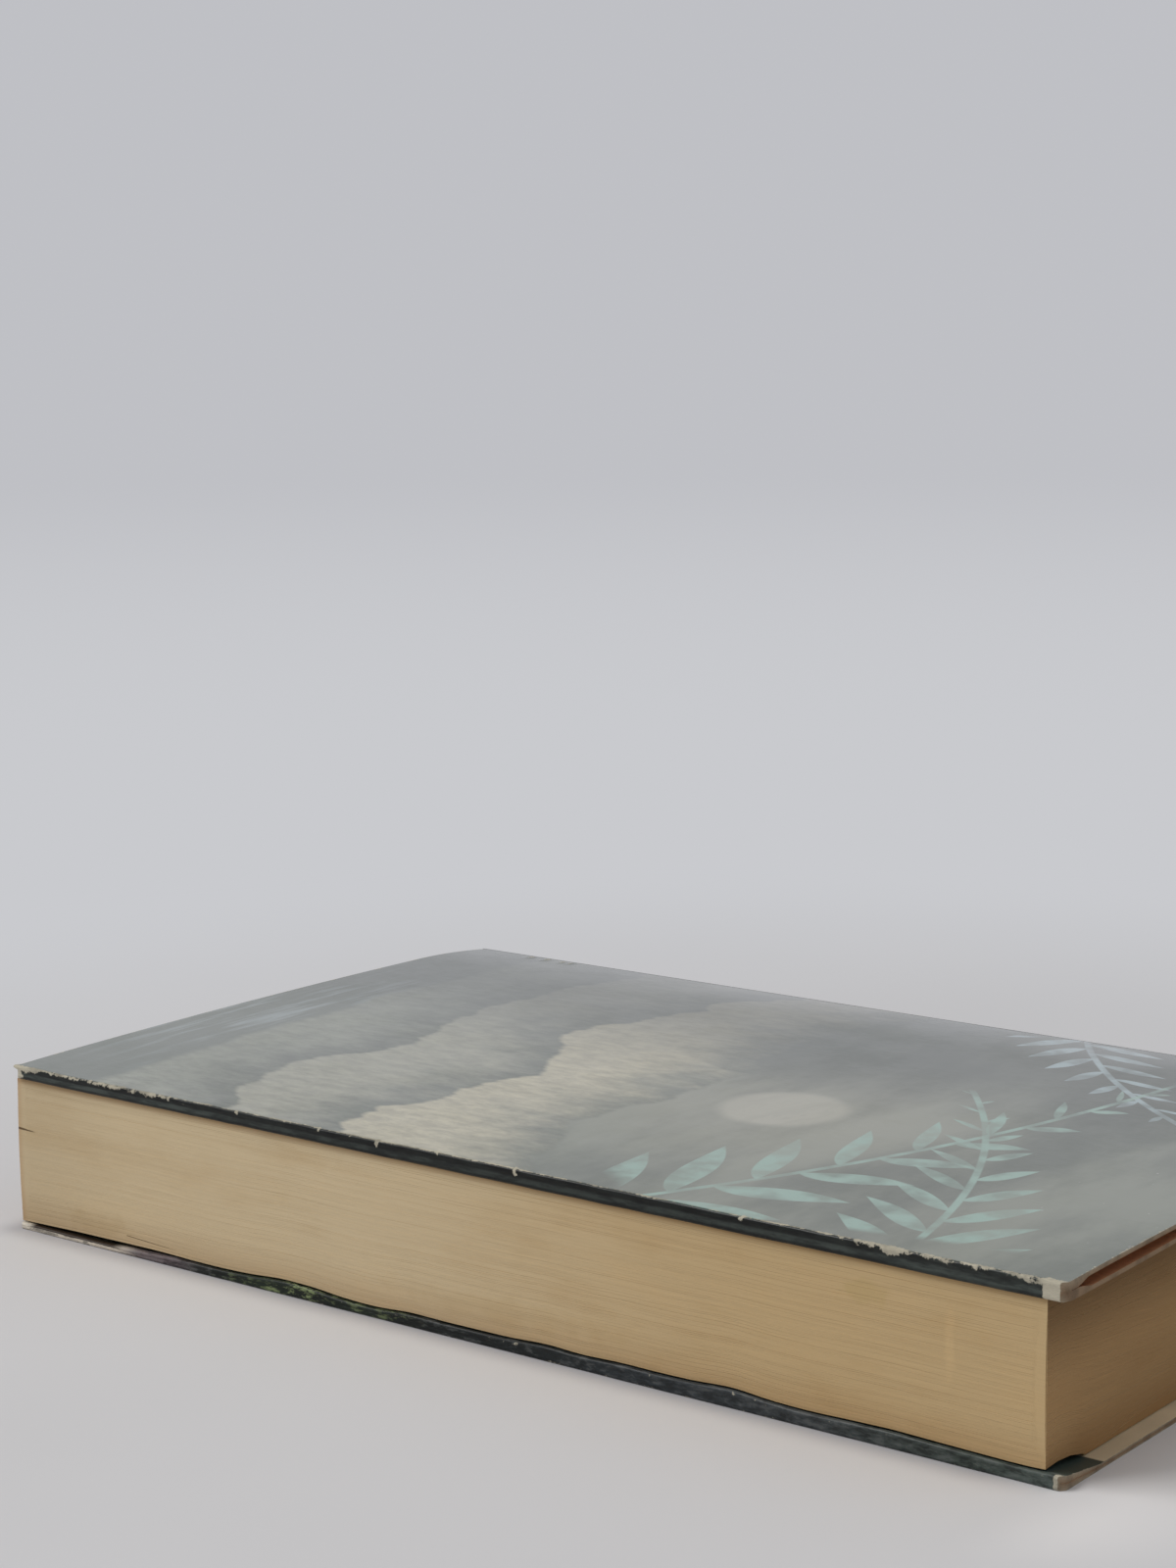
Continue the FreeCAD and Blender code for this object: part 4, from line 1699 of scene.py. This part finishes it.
class StackPlace(NamedTuple):
    """A place on the outline of the stack: its foot, its top, the way out and the bow there."""

    foot: Pair
    low: float
    high: float
    way: Triple
    bow: float = 0.0


@dataclass
class LeafStack:
    """The edges of the leaves: thin ribbons that stand a little proud of the page block.

    A ribbon runs round the tail, the fore-edge and the head. Geometry Nodes repeat it from the
    bottom of the stack to its top, each a little further in or out than the last.
    """

    finish: LeafFinish
    leaves: int = 104
    proud: float = 0.075
    depth: float = 0.3
    seed: int = 4
    hollow_start: float = -63.4
    hollow_wide: float = 10.2
    hollow_rise: float = 2.4
    hollow_end: float = 1.15
    last_leaves_top: float = 2.4
    end_reach: float = 57.5
    end_rows: int = 30
    fore_rows: int = 100
    wave: float = 1.6

    def head_low(self, across: float) -> float:
        """Height of the lowest leaf at the head, over the hollow at the corner.

        Args:
            across: the place across the book.

        Returns:
            The height.
        """
        end = self.hollow_start + self.hollow_wide
        if across <= self.hollow_start:
            return SHAPE.block_low(SHAPE.half_length, SHAPE.block_fore)
        if across <= end:
            share = (across - self.hollow_start) / self.hollow_wide
            roof = SHAPE.back_fold_height(SHAPE.half_length) + SHAPE.leaf_gap
            return roof + (self.hollow_end - roof) * share + self.hollow_rise * share * (1.0 - share)
        return self.hollow_end + (self.last_leaves_top - self.hollow_end) * smooth(across, end, -32.0)

    def outline(self) -> list[StackPlace]:
        """Places round the stack, from the spine end of the tail to the spine end of the head.

        Returns:
            The places, in order.
        """
        ends = [
            self.end_reach - (self.end_reach - SHAPE.block_fore) * (index / self.end_rows) ** 0.8
            for index in range(self.end_rows + 1)
        ]
        tail = [
            StackPlace(
                (SHAPE.block_tail, across),
                SHAPE.block_low(-SHAPE.half_length, across),
                SHAPE.block_high(-SHAPE.half_length, across),
                (-1.0, 0.0, 0.0),
            )
            for across in ends
        ]
        fore = []
        for index in range(1, self.fore_rows):
            along = SHAPE.block_tail + (SHAPE.block_head - SHAPE.block_tail) * index / self.fore_rows
            low = SHAPE.block_low(along, SHAPE.block_fore)
            high = SHAPE.block_high(along, SHAPE.block_fore)
            fore.append(StackPlace((along, SHAPE.block_fore), low, high, (0.0, -1.0, 0.0), 1.0))
        head = [
            StackPlace(
                (SHAPE.block_head, across),
                self.head_low(across),
                SHAPE.block_high(SHAPE.half_length, across),
                (1.0, 0.0, 0.0),
            )
            for across in reversed(ends)
        ]
        tail[-1] = tail[-1]._replace(way=(-0.7, -0.7, 0.0), bow=0.5)
        head[0] = head[0]._replace(way=(0.7, -0.7, 0.0), bow=0.5)
        return tail + fore + head

    def ribbon(self) -> bpy.types.Object:
        """One closed ribbon, with the stack's outline as attributes of its points.

        Returns:
            The ribbon, for Geometry Nodes to repeat.
        """
        rows = self.outline()
        sides = ((-1.0, 0.0), (-1.0, 1.0), (1.0, 1.0), (1.0, 0.0))
        vertices = []
        layers: dict[str, list[float]] = {"low": [], "high": [], "way": [], "edge": [], "slump": []}
        for row in rows:
            slump = self.finish.slump * smooth(row.foot[1], SHAPE.block_fore, -24.0)
            for upper, outer in sides:
                vertices.append(tuple(part * MM for part in (*row.foot, row.low)))
                layers["low"] += [*row.foot, row.low]
                layers["high"] += [*row.foot, row.high]
                layers["way"] += row.way
                layers["edge"] += [upper, outer, row.bow]
                layers["slump"] += [0.0, 0.0, slump]
        faces = []
        around = len(sides)
        last = (len(rows) - 1) * around
        for here in range(0, last, around):
            there = here + around
            for side in range(around):
                following = (side + 1) % around
                faces.append((here + side, there + side, there + following, here + following))
        faces.append(tuple(range(around)))
        faces.append(tuple(range(last + around - 1, last - 1, -1)))
        mesh = bpy.data.meshes.new("leaf_ribbon")
        mesh.from_pydata(vertices, [], faces)
        for name, numbers in layers.items():
            layer = mesh.attributes.new(name, "FLOAT_VECTOR", "POINT")
            layer.data.foreach_set("vector", numbers)
        piece = bpy.data.objects.new("leaf_edges", mesh)
        bpy.context.scene.collection.objects.link(piece)
        return piece

    def tree(self) -> bpy.types.NodeTree:
        """The Geometry Nodes that stack the ribbons.

        Returns:
            The tree, with inputs for how many there are, how far they stand out and the seed.
        """
        tree = bpy.data.node_groups.new("Leaf stack", "GeometryNodeTree")
        sockets = (
            ("Geometry", "INPUT", "NodeSocketGeometry"),
            ("Leaves", "INPUT", "NodeSocketInt"),
            ("Proud", "INPUT", "NodeSocketFloat"),
            ("Wave", "INPUT", "NodeSocketFloat"),
            ("Seed", "INPUT", "NodeSocketInt"),
            ("Material", "INPUT", "NodeSocketMaterial"),
            ("Geometry", "OUTPUT", "NodeSocketGeometry"),
        )
        for name, way, kind in sockets:
            tree.interface.new_socket(name=name, in_out=way, socket_type=kind)
        graph = Graph(tree)
        given = tree.nodes.new("NodeGroupInput").outputs
        whole = graph.node("GeometryNodeGeometryToInstance", given["Geometry"])
        copies = graph.node(
            "GeometryNodeDuplicateElements", whole, None, given["Leaves"], domain="INSTANCE"
        )
        number = copies.node.outputs["Duplicate Index"]
        numbered = tree.nodes.new("GeometryNodeStoreNamedAttribute")
        numbered.data_type = "FLOAT"
        numbered.domain = "INSTANCE"
        graph.feed(numbered.inputs["Geometry"], copies)
        graph.feed(numbered.inputs["Name"], "leaf")
        graph.feed(numbered.inputs["Value"], number)
        solid = graph.node("GeometryNodeRealizeInstances", numbered.outputs["Geometry"])
        leaf = self.named(graph, "leaf", "FLOAT")
        names = ("low", "high", "way", "edge", "slump")
        low, high, way, edge, slump = (self.named(graph, name, "FLOAT_VECTOR") for name in names)
        upper, outer, bow = graph.parts(edge)
        along, across, _ = graph.parts(low)
        chance = graph.node("FunctionNodeRandomValue", 0.0, 1.0, leaf, given["Seed"], data_type="FLOAT")
        spot = graph.joined(along, across, leaf)
        sway = graph.minus(graph.noise(graph.stretch(spot, (0.018, 0.018, 0.35)), 1.0, 2.0), 0.5)
        group = graph.noise(graph.stretch(spot, (0.006, 0.006, 0.11)), 1.0, 2.0)
        middle = graph.plus(leaf, graph.plus(0.5, graph.times(sway, given["Wave"])))
        thick = graph.times(upper, 0.5)
        share = graph.over(graph.plus(middle, thick), given["Leaves"], clamp=True)
        rise = graph.node("ShaderNodeMix", share, low, high, data_type="VECTOR")
        arch = graph.times(share, graph.rest(share))
        bulge = graph.times(arch, bow, SHAPE.fore_bow)
        sunk = graph.scale(slump, graph.times(graph.math("POWER", graph.times(arch, 4.0), 1.5), -1.0))
        uneven = graph.plus(graph.times(chance, 0.45), graph.times(group, 0.8))
        standing = graph.plus(graph.times(uneven, given["Proud"]), self.depth)
        reach = graph.minus(graph.times(outer, standing), self.depth)
        push = graph.scale(way, graph.plus(reach, bulge))
        moves = graph.vector("ADD", graph.vector("ADD", rise, push), sunk)
        place = graph.stretch(moves, (MM, MM, MM))
        moved = graph.node("GeometryNodeSetPosition", solid, None, place)
        dressed = graph.node("GeometryNodeSetMaterial", moved, None, given["Material"])
        end = tree.nodes.new("NodeGroupOutput")
        tree.links.new(dressed, end.inputs["Geometry"])
        return tree

    @staticmethod
    def named(graph: Graph, name: str, kind: str) -> Socket:
        """Reads an attribute of the ribbon's points."""
        return graph.node("GeometryNodeInputNamedAttribute", name, data_type=kind)

    def build(self) -> bpy.types.Object:
        """Makes all the ribbons as one plain mesh.

        Returns:
            The stack.
        """
        piece = self.ribbon()
        tree = self.tree()
        modifier = piece.modifiers.new("Stack", "NODES")
        modifier.node_group = tree
        values = {
            "Leaves": self.leaves,
            "Proud": self.proud,
            "Wave": self.wave,
            "Seed": self.seed,
            "Material": material(self.finish),
        }
        for socket in tree.interface.items_tree:
            if socket.in_out == "INPUT" and socket.name in values:
                modifier[socket.identifier] = values[socket.name]
        return plain_mesh(piece)


def plain_mesh(piece: bpy.types.Object) -> bpy.types.Object:
    """Turns a piece's modifiers into its own mesh.

    Args:
        piece: the object.

    Returns:
        The same object, without modifiers.
    """
    graph = bpy.context.evaluated_depsgraph_get()
    mesh = bpy.data.meshes.new_from_object(piece.evaluated_get(graph))
    mesh.name = piece.name
    piece.modifiers.clear()
    piece.data = mesh
    return piece


@dataclass
class PageBlock:
    """The leaves, the glue behind them and the edges of the leaves."""

    paper: LeafFinish
    glue: GlueFinish

    def build(self) -> None:
        """Dresses the CAD solids and adds the ribbons."""
        dress_node("page_block", self.paper)
        dress_node("binding_glue", self.glue)
        edges = LeafStack(self.paper).build()
        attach(edges, "book")
        LOG.info("leaf edges: %d faces", len(edges.data.polygons))


def dress_node(name: str, finish: Finish) -> None:
    """Gives a CAD node a procedural material.

    Args:
        name: the node.
        finish: its finish.
    """
    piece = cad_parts[name]
    if not piece.material_slots:
        piece.data.materials.append(material(finish))
    for slot in piece.material_slots:
        slot.material = material(finish)
    LOG.info("%s: %s", name, finish.name)


@dataclass
class Covers:
    """Both folded covers and the spine between them."""

    front_print: FrontPrint
    back_print: BackPrint
    spine_print: PrintFinish
    card: CardFinish
    edge: CardFinish
    front_ticks: tuple[Triple, ...] = (
        (12.35, 0.6, 0.3),
        (17.7, 0.6, 0.3),
        (24.9, 0.62, 0.35),
        (36.3, 0.8, 0.32),
        (51.3, 0.72, 0.32),
        (68.6, 0.62, 0.3),
        (75.0, 0.62, 0.28),
        (80.35, 0.85, 0.36),
        (92.6, 0.6, 0.3),
        (107.2, 0.8, 0.36),
        (125.2, 0.62, 0.32),
        (147.0, 0.8, 0.36),
        (163.8, 0.6, 0.5),
        (166.4, 0.65, 0.6),
        (169.0, 0.6, 0.4),
    )
    back_ticks: tuple[Triple, ...] = ((183.0, 0.5, 0.3), (188.0, 0.5, 0.3))
    flakes: tuple[Pair, ...] = ((-85.1, 56.0), (-81.1, 55.9), (-77.0, 55.8), (-75.2, 56.0))

    def build(self) -> None:
        """Makes the covers, which stand for their CAD solids, and dresses the spine."""
        for cover in (
            FoldedCover(
                CoverSide.FRONT, "front_cover", "front", self.front_print, self.card, self.edge,
                ticks=self.front_ticks,
                flakes=self.flakes,
            ),
            FoldedCover(
                CoverSide.BACK, "back_cover", "back", self.back_print, self.card, self.edge,
                ticks=self.back_ticks,
            ),
        ):
            piece = cover.build()
            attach(piece, cover.body)
            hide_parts(cover.node)
            LOG.info("%s: %d faces", piece.name, len(piece.data.polygons))
        dress_node("spine_cover", self.spine_print)


@dataclass
class Studio:
    """The pale floor, the light and the camera, in metres, watts and degrees.

    Past the fade's two distances the floor turns into the backdrop, in the near colour first.
    """

    floor_radius: float = 3.0
    floor_colour: Colour = (0.79, 0.788, 0.812)
    back_colour: Colour = (0.522, 0.528, 0.558)
    near_colour: Colour = (0.584, 0.591, 0.617)
    fade: Pair = (0.135, 0.33)
    foot_inset_mm: float = 0.5
    world_light: float = 0.33
    key_power: float = 47.0
    camera_place: Triple = (0.2878, -0.4071, 0.1548)
    azimuth: float = 37.75
    elevation: float = 9.0
    roll: float = -0.6
    lens: float = 72.0
    sensor: float = 36.0

    def build(self) -> None:
        """Makes the whole stage."""
        self.make_floor()
        self.make_world()
        self.add_light("key", (-1.5, -1.3, 2.6), 1.6, self.key_power, (1.0, 0.985, 0.96))
        self.add_light("fill", (1.8, 1.2, 2.0), 1.8, 2.0, (0.96, 0.98, 1.0))
        self.make_camera()

    @staticmethod
    def seen_rays(graph: Graph) -> Socket:
        """1 for rays that show the background: from the camera, or through gloss and glass.

        Args:
            graph: the nodes of the floor or of the world.

        Returns:
            The mask.
        """
        path = graph.node("ShaderNodeLightPath").node.outputs
        shown = graph.plus(path["Is Camera Ray"], path["Is Glossy Ray"])
        return graph.math("ADD", shown, path["Is Transmission Ray"], clamp=True)

    def make_floor(self) -> None:
        """A pale floor that keeps the book's shadow and can be looked through from below."""
        mesh = bpy.data.meshes.new("floor")
        corners = [(-1, -1), (1, -1), (1, 1), (-1, 1)]
        reach = self.floor_radius
        mesh.from_pydata([(x * reach, y * reach, 0.0) for x, y in corners], [], [(0, 1, 2, 3)])
        floor = bpy.data.objects.new("floor", mesh)
        bpy.context.scene.collection.objects.link(floor)
        surface = bpy.data.materials.new("Pale paper floor")
        surface.use_nodes = True
        graph = Graph(surface.node_tree)
        nodes = surface.node_tree.nodes
        shader = nodes["Principled BSDF"]
        shader.inputs["Roughness"].default_value = 0.9
        shader.inputs["Specular IOR Level"].default_value = 0.2
        place = graph.node("ShaderNodeTexCoord", out=3)
        graph.feed(shader.inputs["Base Color"], self.floor_paper(graph, place))
        distance = graph.vector("LENGTH", place)
        far = graph.rise(distance, *self.fade)
        shades = graph.mix(graph.rise(distance, 0.5, 2.2), self.near_colour, self.back_colour)
        backdrop = graph.node("ShaderNodeEmission", shades, 1.0)
        shown = graph.times(far, self.seen_rays(graph))
        upper = graph.node("ShaderNodeMixShader", shown, shader.outputs[0], backdrop)
        clear = graph.node("ShaderNodeBsdfTransparent")
        below = graph.node("ShaderNodeNewGeometry").node.outputs["Backfacing"]
        both = graph.node("ShaderNodeMixShader", below, upper, clear)
        graph.feed(nodes["Material Output"].inputs["Surface"], both)
        mesh.materials.append(surface)

    def floor_paper(self, graph: Graph, place: Socket) -> Socket:
        """The floor's colour, with a painted contact shadow where the book touches it and painted light
        beside its head, where the book's shadow falls.

        Args:
            graph: the floor's nodes.
            place: the place, in metres.

        Returns:
            The colour.
        """
        cloud = graph.noise(place, 6.0, 3.0)
        plain = graph.mix(graph.rise(cloud, 0.4, 0.6), self.floor_colour, shaded(self.floor_colour, 1.02))
        along, across, _ = graph.parts(place)
        past = [
            graph.math("MAXIMUM", graph.minus(graph.size(part), (half - self.foot_inset_mm) * MM), 0.0)
            for part, half in ((along, SHAPE.half_length), (across, -SHAPE.fore))
        ]
        gap = graph.length(*past)
        # painted shadow: the floor darkens close to the book's front and tail
        near = graph.rise(gap, 0.008, 0.0)
        painted_contact_shadow = graph.times(near, near, graph.rise(along, 0.1, 0.085), 0.42)
        # painted light: the floor is made lighter beside the head, inside the book's real shadow
        bright = graph.times(graph.rise(along, 0.094, 0.108), graph.rise(gap, 0.032, 0.008), 0.9)
        lit = graph.mix(bright, plain, (0.97, 0.96, 0.975))
        return graph.mix(painted_contact_shadow, lit, (0.2, 0.18, 0.2))

    def make_world(self) -> None:
        """A pale background and an even light from all round."""
        world = bpy.data.worlds.new("Studio")
        bpy.context.scene.world = world
        world.use_nodes = True
        graph = Graph(world.node_tree)
        nodes = world.node_tree.nodes
        plain = nodes["Background"]
        plain.inputs["Color"].default_value = (1.0, 1.0, 1.0, 1.0)
        plain.inputs["Strength"].default_value = self.world_light
        shown = graph.node("ShaderNodeBackground", self.back_colour, 1.0)
        both = graph.node("ShaderNodeMixShader", self.seen_rays(graph), plain.outputs[0], shown)
        graph.feed(nodes["World Output"].inputs["Surface"], both)

    @staticmethod
    def add_light(name: str, place: Triple, size: float, power: float, colour: Colour) -> None:
        """Adds a large soft lamp that points at the book.

        Args:
            name: the lamp's name.
            place: where it is, in metres.
            size: its side, in metres.
            power: in watts.
            colour: its colour.
        """
        lamp = bpy.data.lights.new(name, "AREA")
        lamp.size = size
        lamp.energy = power
        lamp.color = colour
        item = bpy.data.objects.new(name, lamp)
        item.location = place
        item.rotation_euler = Vector(place).to_track_quat("Z", "Y").to_euler()
        bpy.context.scene.collection.objects.link(item)

    def make_camera(self) -> None:
        """The camera where the photograph's was."""
        data = bpy.data.cameras.new("camera")
        data.lens = self.lens
        data.sensor_width = self.sensor
        data.clip_start = 0.01
        camera = bpy.data.objects.new("camera", data)
        bpy.context.scene.collection.objects.link(camera)
        turn, lift, roll = (math.radians(a) for a in (self.azimuth, self.elevation, self.roll))
        back = Vector((math.sin(turn) * math.cos(lift), -math.cos(turn) * math.cos(lift), math.sin(lift)))
        right = Vector((0.0, 0.0, 1.0)).cross(back).normalized()
        up = back.cross(right)
        side = right * math.cos(roll) + up * math.sin(roll)
        above = up * math.cos(roll) - right * math.sin(roll)
        matrix = camera.matrix_world.copy()
        for row in range(3):
            matrix[row][0], matrix[row][1], matrix[row][2] = side[row], above[row], back[row]
            matrix[row][3] = self.camera_place[row]
        camera.matrix_world = matrix
        bpy.context.scene.camera = camera


def main() -> None:
    """Builds and dresses the book, then sets the stage."""
    logging.basicConfig(level=logging.INFO, format="%(message)s")
    bpy.context.scene.view_settings.view_transform = "Standard"
    paper = LeafFinish("Aged leaf edges", roughness=0.9, ior=1.35)
    PageBlock(paper, GlueFinish("Hot-melt glue", roughness=0.45)).build()
    Covers(
        front_print=FrontPrint("Front print", roughness=0.28, ior=1.3, coat=1.0, coat_roughness=0.13),
        back_print=BackPrint("Back print", roughness=0.36, ior=1.35),
        spine_print=PrintFinish("Spine print", roughness=0.36),
        card=CardFinish("Bare card", roughness=0.8, darkness=0.05),
        edge=CardFinish(
            "Cut card edge",
            roughness=0.9,
            colour=(0.47, 0.41, 0.31),
            # painted shade on the cut edges, mixed in by the marks' second channel
            painted_shade_colour=(0.33, 0.22, 0.13),
            darkness=0.35,
        ),
    ).build()
    Studio().build()


if __name__ == "__main__":
    main()
